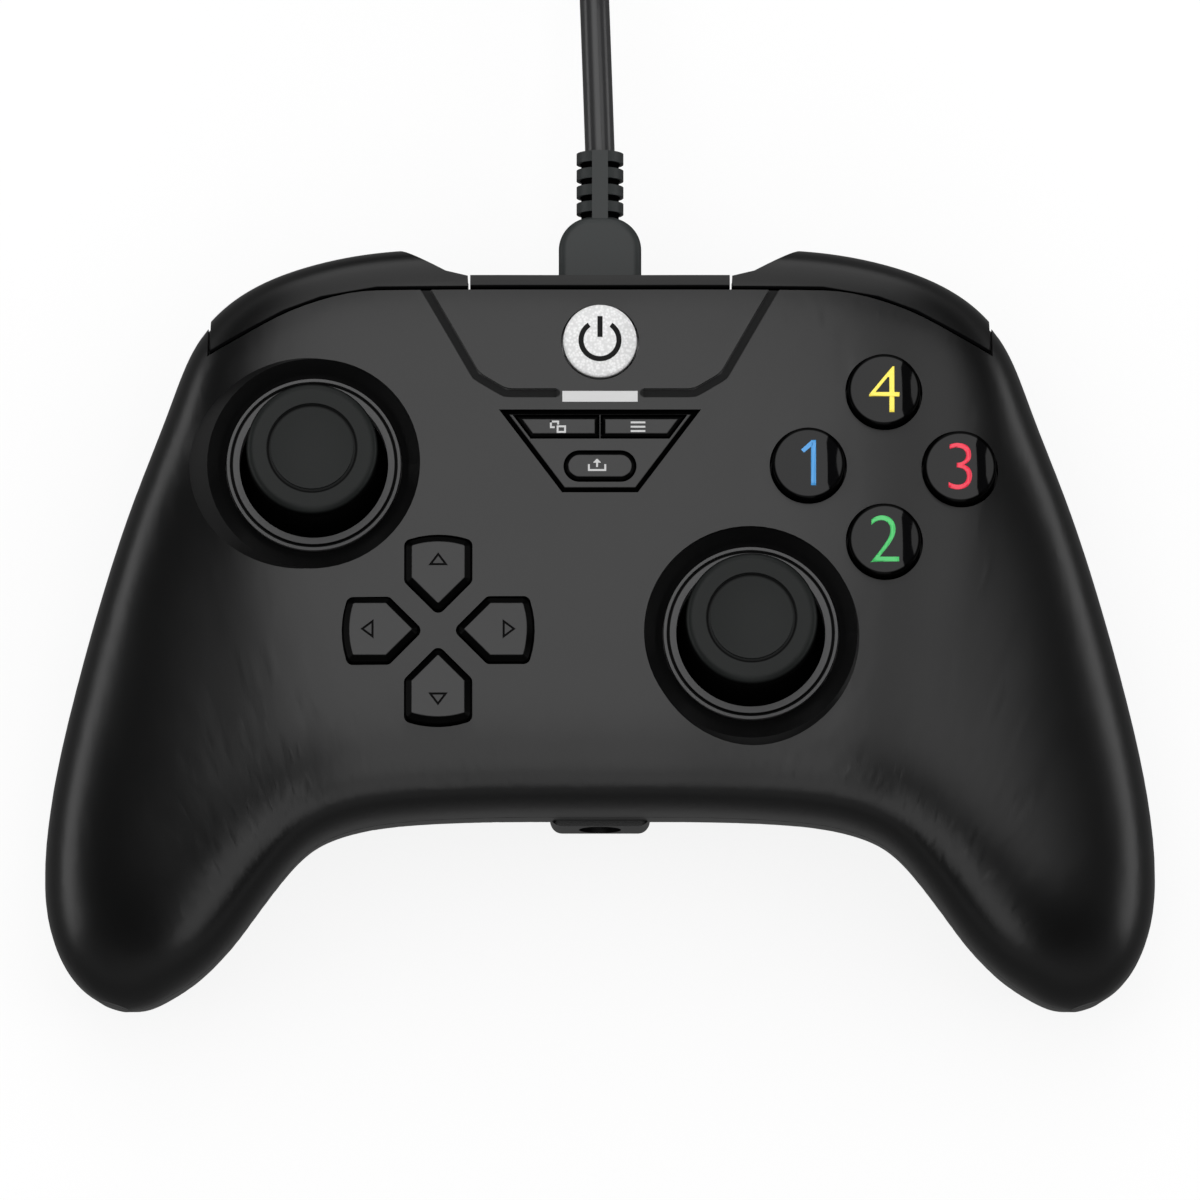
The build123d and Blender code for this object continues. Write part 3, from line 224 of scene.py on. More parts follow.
class Graph:
    """A node tree with short calls for adding and linking nodes."""

    def __init__(self, tree):
        self.tree = tree

    def add(self, kind, inputs=(), **values):
        """A new node with its settings made and its inputs set or linked."""
        node = self.tree.nodes.new(kind)
        for key, value in values.items():
            setattr(node, key, value)
        for key, value in dict(inputs).items():
            self.feed(node.inputs[key], value)
        return node

    def feed(self, socket, value):
        """Links another socket to this one, or sets it to a value."""
        if isinstance(value, bpy.types.NodeSocket):
            self.tree.links.new(value, socket)
        else:
            socket.default_value = value

    def place(self):
        """Where a point of the surface lies, in metres."""
        return self.add("ShaderNodeTexCoord").outputs["Object"]

    def axes(self, vector):
        """The three parts of a vector, by their letters."""
        return self.add("ShaderNodeSeparateXYZ", inputs={"Vector": vector}).outputs

    def vector(self, x, y, z):
        """One vector from three numbers."""
        return self.add("ShaderNodeCombineXYZ", inputs={"X": x, "Y": y, "Z": z}).outputs[0]

    def maths(self, operation, first, second=0.0, clamp=False):
        """A calculation with one or two numbers, held between 0 and 1 if clamp is set."""
        node = self.add("ShaderNodeMath", operation=operation, use_clamp=clamp)
        self.feed(node.inputs[0], first)
        self.feed(node.inputs[1], second)
        return node.outputs[0]

    def vector_maths(self, operation, first, second, output="Vector"):
        """A calculation with two vectors, or with a vector and its scale."""
        node = self.add("ShaderNodeVectorMath", operation=operation)
        self.feed(node.inputs[0], first)
        self.feed(node.inputs["Scale" if operation == "SCALE" else 1], second)
        return node.outputs[output]

    def distance(self, first, second):
        """How far two points are apart."""
        return self.vector_maths("DISTANCE", first, second, output="Value")

    def blend(self, factor, first, second, kind="RGBA"):
        """The first value at factor 0 and the second at 1."""
        node = self.add("ShaderNodeMix", data_type=kind)
        places = {"RGBA": (6, 7, 2), "FLOAT": (2, 3, 0)}[kind]
        self.feed(node.inputs[0], factor)
        self.feed(node.inputs[places[0]], first)
        self.feed(node.inputs[places[1]], second)
        return node.outputs[places[2]]

    def spread(self, value, low, high, to_low, to_high):
        """Maps one range of values to another, and holds the end values beyond it."""
        node = self.add("ShaderNodeMapRange", inputs={
            "Value": value, "From Min": low, "From Max": high, "To Min": to_low, "To Max": to_high})
        return node.outputs["Result"]

    def noise(self, place, scale, detail):
        """Soft noise about 0.5, with that many waves to a metre."""
        node = self.add("ShaderNodeTexNoise", inputs={"Vector": place, "Scale": scale, "Detail": detail})
        return node.outputs["Fac"]

    def bump(self, height, depth, strength):
        """The normal of a surface that a height raises by that depth."""
        node = self.add("ShaderNodeBump", inputs={
            "Strength": strength, "Distance": depth, "Height": height})
        return node.outputs["Normal"]


def grain_group():
    """Moulded texture: a fine bump, and a slow drift in colour and roughness."""
    cloud_scale = 55.0
    roughness_share = 0.25
    tree = bpy.data.node_groups.new("moulded_grain", "ShaderNodeTree")
    for name, kind in (("Grain size", "NodeSocketFloat"), ("Depth", "NodeSocketFloat"),
                       ("Colour", "NodeSocketColor"), ("Drift", "NodeSocketFloat"),
                       ("Roughness", "NodeSocketFloat")):
        tree.interface.new_socket(name, in_out="INPUT", socket_type=kind)
    for name, kind in (("Colour", "NodeSocketColor"), ("Roughness", "NodeSocketFloat"),
                       ("Normal", "NodeSocketVector")):
        tree.interface.new_socket(name, in_out="OUTPUT", socket_type=kind)
    g = Graph(tree)
    into = g.add("NodeGroupInput").outputs
    out = g.add("NodeGroupOutput").inputs
    place = g.place()
    grain = g.noise(place, g.maths("DIVIDE", 1.0, into["Grain size"]), 2.0)
    cloud = g.noise(place, cloud_scale, 3.0)
    drift = g.maths("MULTIPLY", g.maths("SUBTRACT", cloud, 0.5), into["Drift"])
    lighter = g.maths("ADD", 1.0, drift)
    g.feed(out["Colour"], g.vector_maths("SCALE", into["Colour"], lighter))
    rougher = g.maths("MULTIPLY", drift, roughness_share)
    g.feed(out["Roughness"], g.maths("ADD", into["Roughness"], rougher))
    g.feed(out["Normal"], g.bump(grain, into["Depth"], 1.0))
    return tree


def new_material(name):
    """A material with nothing but its shader, and the graph to build on."""
    material = bpy.data.materials.new(name)
    material.use_nodes = True
    material.node_tree.nodes.clear()
    g = Graph(material.node_tree)
    shader = g.add("ShaderNodeBsdfPrincipled")
    g.add("ShaderNodeOutputMaterial", inputs={"Surface": shader.outputs[0]})
    return material, g, shader


def moulding(name, base, roughness, grain, drift=0.25, **sockets):
    """A moulded plastic or rubber, with the graph and shader for more to be built on."""
    material, g, shader = new_material(name)
    group = g.add(
        "ShaderNodeGroup", node_tree=bpy.data.node_groups.get("moulded_grain") or grain_group(),
        inputs={"Grain size": grain[0], "Depth": grain[1], "Colour": base, "Drift": drift,
                "Roughness": roughness})
    g.feed(shader.inputs["Base Color"], group.outputs["Colour"])
    g.feed(shader.inputs["Roughness"], group.outputs["Roughness"])
    g.feed(shader.inputs["Normal"], group.outputs["Normal"])
    for key, value in sockets.items():
        shader.inputs[key.replace("_", " ")].default_value = value
    return material, g, shader


def grained(name, base, roughness, grain, drift=0.25, **sockets):
    """A moulded plastic or rubber: one colour with fine grain, drift and its own gloss."""
    return moulding(name, base, roughness, grain, drift, **sockets)[0]


def steel(name, base, roughness, stretch=(1.0, 1.0, 14.0)):
    """Bare metal with fine drawn lines along one way."""
    line_scale = 900.0
    line_depth = 0.000001
    dull = darker(base, 0.86)
    material, g, shader = new_material(name)
    lines = g.add("ShaderNodeMapping", inputs={"Vector": g.place(), "Scale": stretch})
    noise = g.noise(lines.outputs[0], line_scale, 3.0)
    g.feed(shader.inputs["Base Color"], g.blend(noise, dull, base))
    g.feed(shader.inputs["Roughness"], g.spread(
        noise, *NOISE_RANGE, roughness * 0.9, roughness * 1.15))
    g.feed(shader.inputs["Normal"], g.bump(noise, line_depth, 0.4))
    shader.inputs["Metallic"].default_value = 1.0
    return material


def coated(name, base, roughness, coat_roughness):
    """A moulding whose only gloss is its coat, so that a mask on the coat can take it away where shade is
    painted.
    """
    return moulding(name, base, roughness, SATIN_GRAIN, Specular_IOR_Level=0.0,
                    Coat_Roughness=coat_roughness)


def paint_shade(g, shader, unshaded, black):
    """Paints shade: keeps the base colour where the mask is 1, and turns it to that black where it is 0, as
    painted shade.
    """
    plain = shader.inputs["Base Color"].links[0].from_socket
    g.feed(shader.inputs["Base Color"], g.blend(unshaded, black, plain))


def key_with_painted_edge_shade(name, node, top, edge, roughness):
    """Satin plastic on a key's top only: its sloping edges and cut marks are painted dead black, as painted
    shade.
    """
    slope = 0.0001
    least_coat = 0.08
    full_coat = 0.85
    level = top_of(node)
    material, g, shader = coated(name, top, roughness, roughness * 0.75)
    # Below the top, on the slopes and in the cut marks, the coat drops and the base is painted black:
    # painted shade.
    on_top = g.spread(g.axes(g.place())["Z"], level - slope, level - slope / 2, 0.0, 1.0)
    g.feed(shader.inputs["Coat Weight"], g.spread(on_top, 0.0, 1.0, least_coat, full_coat))
    paint_shade(g, shader, on_top, edge)
    return material


def round_cap_painted_shade(name, node, base, roughness, bands, coat, coat_roughness, edge=0.0001, rise=None):
    """A round moulding that mirrors only within some rings about its middle, and is painted black outside
    them as painted shade.

    Each band is a ring's inner and outer radius, edge the width over which its gloss fades, and rise
    the two heights between which the gloss comes in, if it has any.
    """
    least_coat = coat * 0.14
    material, g, shader = coated(name, base, roughness, coat_roughness)
    axes = g.axes(g.place())
    radius = g.distance(g.vector(axes["X"], axes["Y"], 0.0), (*middle_of(node), 0.0))
    mask = 0.0
    for inner, outer in bands:
        after = g.spread(radius, inner, inner + edge, 0.0, 1.0)
        before = g.spread(radius, outer - edge, outer, 1.0, 0.0)
        mask = g.maths("MAXIMUM", mask, g.maths("MULTIPLY", after, before))
    if rise:
        mask = g.maths("MULTIPLY", mask, g.spread(axes["Z"], *rise, 0.0, 1.0))
    g.feed(shader.inputs["Coat Weight"], g.spread(mask, 0.0, 1.0, least_coat, coat))
    # Outside the rings, and below the rise, the base is painted black: painted shade in grooves, on sides
    # and under caps.
    paint_shade(g, shader, mask, grey(0.0006))
    return material


# Flat signs that lie on a curved or level top

def flat_bars(bars, level):
    """One mesh of flat rectangles, each given by its lowest and highest corner in plan."""
    deselect()
    bpy.ops.mesh.primitive_plane_add(size=1.0, location=(0.0, 0.0, 0.0))
    piece = bpy.context.object
    bpy.ops.object.mode_set(mode="EDIT")
    bpy.ops.mesh.select_all(action="SELECT")
    bpy.ops.mesh.delete(type="VERT")
    for x0, y0, x1, y1 in bars:
        bpy.ops.mesh.select_all(action="DESELECT")
        bpy.ops.mesh.primitive_plane_add(size=1.0, location=((x0 + x1) / 2, (y0 + y1) / 2, level))
        bpy.ops.transform.resize(value=(x1 - x0, y1 - y0, 1.0))
    bpy.ops.object.mode_set(mode="OBJECT")
    return piece


def frame_bars(x0, y0, x1, y1, line):
    """The four bars of a square outline."""
    return [(x0, y0, x1, y0 + line), (x0, y1 - line, x1, y1),
            (x0, y0 + line, x0 + line, y1 - line), (x1 - line, y0 + line, x1, y1 - line)]


def cut_fine(piece, fineness):
    """Merges a flat mesh's doubles and cuts it into strips both ways, so that it can bend."""
    corners = [v.co.copy() for v in piece.data.vertices]
    activate(piece)
    bpy.ops.object.mode_set(mode="EDIT")
    bpy.ops.mesh.select_all(action="SELECT")
    bpy.ops.mesh.remove_doubles(threshold=1e-7)
    for axis, way in enumerate((Vector((1.0, 0.0, 0.0)), Vector((0.0, 1.0, 0.0)))):
        low = min(c[axis] for c in corners)
        high = max(c[axis] for c in corners)
        steps = int((high - low) / fineness)
        for n in range(1, steps):
            bpy.ops.mesh.select_all(action="SELECT")
            bpy.ops.mesh.bisect(plane_co=way * (low + (high - low) * n / steps), plane_no=way)
    bpy.ops.object.mode_set(mode="OBJECT")


def lay_on(piece, node, thickness, fineness=0.0004):
    """Drops a flat sign on that node's top and lets it stand proud by a printed layer's thickness."""
    cut_fine(piece, fineness)
    drop = piece.modifiers.new("drop", "SHRINKWRAP")
    drop.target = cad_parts[node]
    drop.wrap_method = "PROJECT"
    drop.use_project_z = True
    drop.use_negative_direction = True
    drop.use_positive_direction = False
    bpy.ops.object.modifier_apply(modifier="drop")
    layer = piece.modifiers.new("layer", "SOLIDIFY")
    layer.thickness = thickness * 2
    layer.offset = 0.0
    bpy.ops.object.modifier_apply(modifier="layer")
    bpy.ops.object.mode_set(mode="EDIT")
    bpy.ops.mesh.select_all(action="SELECT")
    bpy.ops.mesh.normals_make_consistent(inside=False)
    bpy.ops.object.mode_set(mode="OBJECT")
    return piece


# Stage

def area_lamp(name, place, target, width, height, radiance, mirrored=True):
    """A soft box of that brightness; one that isn't mirrored lights the object and shows in no gloss."""
    deselect()
    bpy.ops.object.light_add(type="AREA", location=place)
    lamp = bpy.context.object
    lamp.name = name
    lamp.data.shape = "RECTANGLE"
    lamp.data.size = width
    lamp.data.size_y = height
    lamp.data.energy = radiance * math.pi * width * height
    lamp.visible_glossy = mirrored
    lamp.visible_camera = False
    away = Vector(place) - Vector(target)
    lamp.rotation_mode = "QUATERNION"
    lamp.rotation_quaternion = away.to_track_quat("Z", "Y")


class GAMEPAD_OT_stage(bpy.types.Operator):
    """Camera at the photograph's angle, pale floor and soft lamps"""
    bl_idname = "gamepad.stage"
    bl_label = "Stage"

    focus = (0.0, 0.0014, 0.047)
    centre = (0.0, 0.0, 0.04)
    # Each lamp's name, its place, the point that it faces, its width, height and brightness
    boxes = (
        ("face_box", (-0.155, 0.45, 1.30), (-0.155, 0.45, 0.0), 0.99, 1.50, 1.8),
        ("face_fade", (-0.76, 0.45, 1.30), (-0.76, 0.45, 0.0), 0.22, 1.50, 0.9),
        ("face_strip", (0.75, 0.20, 1.30), (0.0, 0.20, 0.0), 1.50, 0.50, 1.3),
        ("front_box", (-0.05, -0.62, 1.15), (-0.05, -0.30, 0.0), 0.60, 0.60, 1.5),
        ("brow_box", (0.0, -1.20, 0.85), centre, 0.60, 0.66, 1.2),
        ("left_box", (-1.20, 0.0, 0.18), centre, 1.30, 0.40, 1.7),
        ("right_box", (1.20, 0.0, 0.18), centre, 1.30, 0.40, 1.7),
        ("rear_box", (0.0, 1.35, 0.55), centre, 1.30, 1.10, 1.0),
    )
    fills = (
        ("left_fill", (-1.30, -0.20, 1.10), centre, 0.80, 0.80, 1.2),
        ("right_fill", (1.30, -0.20, 1.10), centre, 0.80, 0.80, 1.2),
        ("rear_fill", (0.0, 1.40, 1.10), centre, 1.20, 0.60, 1.2),
    )
    # How much of the floor's white is its own glow to the camera; the rest is lit and takes shadow
    floor_glow = 0.85
    # Brightness of the room overhead in gloss, and of its plain light
    overhead = 0.01
    room_light = 0.40

    def execute(self, context):
        s = context.scene.gamepad_stage
        back = -math.cos(s.camera_elevation)
        lift = math.sin(s.camera_elevation)
        spot = Vector(self.focus) + Vector((0.0, back, lift)) * s.camera_distance
        bpy.ops.object.camera_add(location=spot)
        camera = context.object
        camera.name = "photo_camera"
        camera.rotation_euler = (math.pi / 2 - s.camera_elevation, 0.0, 0.0)
        camera.data.lens = camera.data.sensor_width * s.camera_distance / s.field_width
        camera.data.clip_start = 0.05
        camera.data.clip_end = 50.0
        context.scene.camera = camera
        self.make_floor(s)
        self.make_world(context.scene, s)
        for lamp in self.boxes:
            area_lamp(*lamp)
        for lamp in self.fills:
            area_lamp(*lamp, mirrored=False)
        context.scene.view_settings.view_transform = "Standard"
        return {"FINISHED"}

    def make_floor(self, s):
        """Paper that is white to the camera but for the object's shadow, and dim in gloss."""
        deselect()
        bpy.ops.mesh.primitive_grid_add(x_subdivisions=8, y_subdivisions=8, size=s.floor_size)
        floor = bpy.context.object
        floor.name = "floor"
        material, g, shader = new_material("paper_floor")
        shader.inputs["Base Color"].default_value = s.paper
        shader.inputs["Roughness"].default_value = 0.9
        path = g.add("ShaderNodeLightPath").outputs
        strength = g.blend(path["Is Glossy Ray"], 1.0, s.mirrored_floor, kind="FLOAT")
        glow = g.add("ShaderNodeEmission", inputs={"Color": grey(1.0), "Strength": strength})
        seen = g.maths("MAXIMUM", path["Is Camera Ray"], path["Is Transmission Ray"])
        seen = g.maths("MULTIPLY", seen, self.floor_glow)
        amount = g.maths("MAXIMUM", seen, path["Is Glossy Ray"])
        mix = g.add("ShaderNodeMixShader", inputs={
            0: amount, 1: shader.outputs[0], 2: glow.outputs[0]})
        out = next(n for n in g.tree.nodes if n.type == "OUTPUT_MATERIAL")
        g.feed(out.inputs["Surface"], mix.outputs[0])
        floor.data.materials.append(material)

    def make_world(self, scene, s):
        """White to the camera, plain light on the object, and a glow near the horizon in gloss."""
        world = bpy.data.worlds.new("studio")
        world.use_nodes = True
        world.node_tree.nodes.clear()
        g = Graph(world.node_tree)
        path = g.add("ShaderNodeLightPath").outputs
        rise = g.axes(g.add("ShaderNodeTexCoord").outputs["Generated"])["Z"]
        horizon = g.spread(rise, s.glow_low, s.glow_high, s.glow, self.overhead)
        soft = g.blend(path["Is Glossy Ray"], self.room_light, horizon, kind="FLOAT")
        strength = g.blend(path["Is Camera Ray"], soft, 1.0, kind="FLOAT")
        back = g.add("ShaderNodeBackground", inputs={"Color": grey(1.0), "Strength": strength})
        g.add("ShaderNodeOutputWorld", inputs={"Surface": back.outputs[0]})
        scene.world = world


# Cable

class GAMEPAD_OT_cable(bpy.types.Operator):
    """Cable as one smooth line: straight lead, tied coil and tail to the flat plug"""
    bl_idname = "gamepad.cable"
    bl_label = "Cable"

    # Route and coil in millimetres
    lead = ((0.0, 66.9, 29.5), (-1.0, 97.0, 29.5), (-2.4, 128.0, 8.5), (-3.0, 150.0, 3.25),
            (-3.0, 161.9, 3.25))
    tail = ((1.6, 170.1, 17.05), (1.6, 188.0, 17.05), (-5.0, 207.0, 9.0), (-21.0, 219.0, 3.9),
            (-38.0, 219.0, 3.9))
    pitch = 4.6
    outer_radius = 33.4
    ring_count = 5
    layer_count = 4
    entry_y = 166.0
    rest_height = 3.25
    points_per_half_turn = 8

    def half_turns(self):
        """Radius and height at each half turn, as the solid coil has them."""
        radii = [self.outer_radius - self.pitch * k for k in range(self.ring_count)]
        steps = []
        for layer in range(self.layer_count):
            height = self.rest_height + self.pitch * layer
            order = radii if layer % 2 == 0 else radii[::-1]
            if layer:
                order = order[1:]
            for radius in order:
                climbs = radius == order[-1] and layer < self.layer_count - 1
                steps.append((radius, height))
                steps.append((radius, height + self.pitch if climbs else height))
        steps.append((self.outer_radius + self.pitch, steps[-1][1]))
        return steps

    def coil_points(self):
        """The spline's points on the coil, a little outside its turns, which the spline cuts inside."""
        middle_x = self.lead[-1][0] - self.outer_radius
        steps = self.half_turns()
        points = []
        for k, (start, end) in enumerate(zip(steps, steps[1:])):
            # The centre moves with the half turn's ends, as the arcs of the solid do
            first = start[0] if k % 2 == 0 else -start[0]
            last = -end[0] if k % 2 == 0 else end[0]
            centre = (first + last) / 2
            radius = (start[0] + end[0]) / 2
            swell = radius / math.cos(math.pi / self.points_per_half_turn / 2)
            for n in range(self.points_per_half_turn):
                done = n / self.points_per_half_turn
                angle = math.pi * (k + done)
                x = middle_x + centre + swell * math.cos(angle)
                y = self.entry_y + swell * math.sin(angle)
                z = start[1] + (end[1] - start[1]) * (1 - math.cos(math.pi * done)) / 2
                points.append((x, y, z))
        return points

    def execute(self, context):
        s = context.scene.gamepad_cable
        route = list(self.lead[:-1]) + self.coil_points() + list(self.tail[1:])
        data = bpy.data.curves.new("cable", "CURVE")
        data.dimensions = "3D"
        spline = data.splines.new("NURBS")
        spline.points.add(len(route) - 1)
        for point, spot in zip(spline.points, route):
            point.co = (spot[0] * MM, spot[1] * MM, spot[2] * MM, 1.0)
        spline.order_u = 3
        spline.use_endpoint_u = True
        spline.resolution_u = 6
        data.bevel_depth = s.diameter / 2
        data.bevel_resolution = 6
        data.use_fill_caps = True
        cable = bpy.data.objects.new("cable", data)
        context.collection.objects.link(cable)
        data.materials.append(
            grained("cable_sheath", tuple(s.sheath), 0.34, COARSE_GRAIN, Coat_Weight=0.2))
        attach(cable, BODY)
        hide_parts("cord_lead", "cord_coil", "cord_tail")
        return {"FINISHED"}


# Plug at the cable's far end

class GAMEPAD_OT_plug(bpy.types.Operator):
    """Flat plug: metal shell with two dark squares of painted shade for its spring windows, and a ribbed
    grip
    """
    bl_idname = "gamepad.plug"
    bl_label = "Cable plug"

    window = 0.0023
    window_inset = 0.0085
    # From the plug's middle line to a window's middle, in widths of a window
    window_offset = 1.15
    rib_inset = 0.0055
    rib_step = 0.0022
    rib_length = 0.0010
    rib_height = 0.0016
    rib_rounding = 0.00035
    # From the grip's top down to a rib's middle
    rib_drop = 0.0005
    # Each rib's width as a share of the grip's
    rib_widths = (0.66, 0.71, 0.76, 0.71, 0.66)

    def execute(self, context):
        dress("usb_a_shield", steel("plug_shell", (0.62, 0.62, 0.64, 1.0), 0.28))
        grip = grained("plug_grip", (0.016, 0.016, 0.017, 1.0), 0.42, (0.0003, 0.000008))
        dress("usb_a_body", grip)
        self.make_window_shade()
        self.make_ribs(grip)
        return {"FINISHED"}

    def make_window_shade(self):
        """Two dark squares on the shell's upper flat: painted shade standing in for its spring windows."""
        low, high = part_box("usb_a_shield")
        x = low[0] + self.window_inset
        half = self.window / 2
        bars = []
        for side in (-1, 1):
            y = (low[1] + high[1]) / 2 + side * self.window * self.window_offset
            bars.append((x, y - half, x + self.window, y + half))
        windows = lay_on(flat_bars(bars, high[2] + SIGN_LIFT), "usb_a_shield", INK_DEPTH, LEVEL_FINENESS)
        dark = grained("plug_window_shade", grey(0.002), 0.6, INK_GRAIN)
        # These squares are painted shade, not holes in the shell.
        finish_piece(windows, "plug_windows", BODY, dark)

    def make_ribs(self, grip):
        """Raised finger ribs on the upper flat of the plug's body."""
        low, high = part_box("usb_a_body")
        middle = (low[1] + high[1]) / 2
        for n, part in enumerate(self.rib_widths):
            spot = (low[0] + self.rib_inset + n * self.rib_step, middle, high[2] - self.rib_drop)
            deselect()
            bpy.ops.mesh.primitive_cube_add(size=1.0, location=spot)
            rib = bpy.context.object
            rib.scale = (self.rib_length, (high[1] - low[1]) * part, self.rib_height)
            settle(rib)
            bevel(rib, self.rib_rounding, 3)
            finish_piece(rib, "plug_rib_%d" % n, BODY, grip)


# Shells

class GAMEPAD_OT_shell(bpy.types.Operator):
    """Satin black finish of the shells, bumpers and triggers"""
    bl_idname = "gamepad.shell"
    bl_label = "Shells"

    # Lines in plan on the pad's right half, which its left half mirrors
    groove_line = ((0.0060, 0.0304), (0.0130, 0.0304), (0.0170, 0.0328), (0.0245, 0.0461))
    seam_line = ((0.0, 0.0451), (0.0306, 0.0451), (0.0381, 0.0439), (0.0432, 0.0421), (0.0491, 0.0391),
                 (0.0534, 0.0369), (0.0570, 0.0350))
    groove_half = 0.00065
    groove_fade = 0.0002
    # Heights between which the groove's mark comes in, just under the face
    groove_rise = (0.040, 0.041)
    groove_roughness = 0.85
    # Nearer than this to the seam's line the rear pieces lose their gloss and are dead black, as a painted
    # shadow line along the seam
    seam_shade_reach = 0.00078
    seam_shade_fade = 0.00015

    def execute(self, context):
        s = context.scene.gamepad_shell
        plastic = tuple(s.plastic)
        grain = (s.grain_size, SATIN_GRAIN[1])
        satin = grained("satin_shell", plastic, s.roughness, grain)
        for node in ("bottom_shell", "left_trigger", "right_trigger"):
            dress(node, satin)
        dress("top_shell", self.face(plastic, s.roughness, grain))
        rear = self.rear(plastic, s.roughness)
        for node in ("back_bridge", "left_bumper", "right_bumper"):
            dress(node, rear)
        return {"FINISHED"}

    def face(self, plastic, roughness, grain):
        """The same satin, duller along the groove in the face."""
        material, g, shader = moulding("satin_face", plastic, roughness, grain)
        place = g.place()
        away = self.nearest(g, place, self.groove_line)
        inside = g.spread(away, self.groove_half - self.groove_fade, self.groove_half, 1.0, 0.0)
        raised = g.spread(g.axes(place)["Z"], *self.groove_rise, 0.0, 1.0)
        inside = g.maths("MULTIPLY", inside, raised)
        plain = shader.inputs["Roughness"].links[0].from_socket
        g.feed(shader.inputs["Roughness"], g.blend(inside, plain, self.groove_roughness, kind="FLOAT"))
        return material

    def rear(self, plastic, roughness):
        """The same satin on the bridge and the bumpers, dead black beside their seam with the face as a
        painted shadow line.
        """
        material, g, shader = coated("rear_satin_painted_shade", plastic, 0.5, roughness)
        away = self.nearest(g, g.place(), self.seam_line)
        unshaded = g.spread(away, self.seam_shade_reach - self.seam_shade_fade, self.seam_shade_reach, 0.0, 1.0)
        g.feed(shader.inputs["Coat Weight"], unshaded)
        return material

    def nearest(self, g, place, line):
        """Distance in plan from a line that both halves of the pad mirror."""
        axes = g.axes(place)
        folded = g.vector(g.maths("ABSOLUTE", axes["X"]), axes["Y"], 0.0)
        least = None
        for start, end in zip(line, line[1:]):
            away = self.from_stretch(g, folded, Vector((*start, 0.0)), Vector((*end, 0.0)))
            least = away if least is None else g.maths("MINIMUM", least, away)
        return least

    def from_stretch(self, g, place, start, end):
        """Distance in plan from one straight stretch."""
        along = end - start
        away = g.vector_maths("SUBTRACT", place, tuple(start))
        done = g.vector_maths("DOT_PRODUCT", away, tuple(along / along.length_squared), output="Value")
        foot = g.vector_maths("SCALE", tuple(along), g.maths("ADD", done, 0.0, clamp=True))
        return g.distance(away, foot)


# Face buttons

class GAMEPAD_OT_face_buttons(bpy.types.Operator):
    """Glossy caps with one printed digit each, and painted shade round their rims"""
    bl_idname = "gamepad.face_buttons"
    bl_label = "Face buttons"

    places = (("left", "1"), ("bottom", "2"), ("right", "3"), ("top", "4"))
    # A digit's height as a share of the font's size, and how far its strokes are thinned
    font_share = 0.73
    thinning = 0.018
    # Place, size and turn of the stroke that starts a figure one, in heights of the figure
    flag_offset = (-0.06, -0.13)
    flag_size = (0.28, 0.085)
    flag_turn = -math.radians(42)

    def execute(self, context):
        s = context.scene.gamepad_controls
        # The inner radius is below 0, so that the gloss has no hole in its middle; outside the band the
        # cap's rim and sides are painted black as painted shade
        bands = [(-0.001, s.cap_shine)]
        for side, digit in self.places:
            node = "face_button_" + side
            dress(node, round_cap_painted_shade(
                "cap_gloss_painted_shade_" + side, node, tuple(s.cap_plastic), 0.3, bands, coat=0.58, coat_roughness=0.04))
            ink = grained("digit_ink_" + side, tuple(getattr(s, side + "_ink")), 0.35, INK_GRAIN,
                          drift=0.15, Coat_Weight=0.3)
            piece = self.make_digit(node, digit, s.digit_height)
            finish_piece(piece, node + "_digit", node + "_body", ink)
        return {"FINISHED"}

    def make_digit(self, node, digit, height):
        """The digit as a flat mesh, centred and laid on its cap."""
        deselect()
        bpy.ops.object.text_add()
        text = bpy.context.object
        text.data.body = digit
        text.data.size = height / self.font_share
        text.data.offset = -height * self.thinning
        text.data.resolution_u = 6
        bpy.ops.object.convert(target="MESH")
        piece = bpy.context.object
        if digit == "1":
            self.add_flag(piece, height)
        corners = [v.co for v in piece.data.vertices]
        x = (min(c.x for c in corners) + max(c.x for c in corners)) / 2
        y = (min(c.y for c in corners) + max(c.y for c in corners)) / 2
        middle = middle_of(node)
        piece.location = (middle[0] - x, middle[1] - y, top_of(node) + SIGN_LIFT)
        settle(piece)
        return lay_on(piece, node, INK_DEPTH)

    def add_flag(self, piece, height):
        """The slanting stroke that starts a figure one, on the left of its upright."""
        left = min(v.co.x for v in piece.data.vertices)
        top = max(v.co.y for v in piece.data.vertices)
        spot = (left + height * self.flag_offset[0], top + height * self.flag_offset[1], 0.0)
        activate(piece)
        bpy.ops.object.mode_set(mode="EDIT")
        bpy.ops.mesh.select_all(action="DESELECT")
        bpy.ops.mesh.primitive_plane_add(size=1.0, location=spot)
        bpy.ops.transform.resize(value=(height * self.flag_size[0], height * self.flag_size[1], 1.0))
        bpy.ops.transform.rotate(value=self.flag_turn, orient_axis="Z", center_override=spot)
        bpy.ops.object.mode_set(mode="OBJECT")


# Home button and light bar

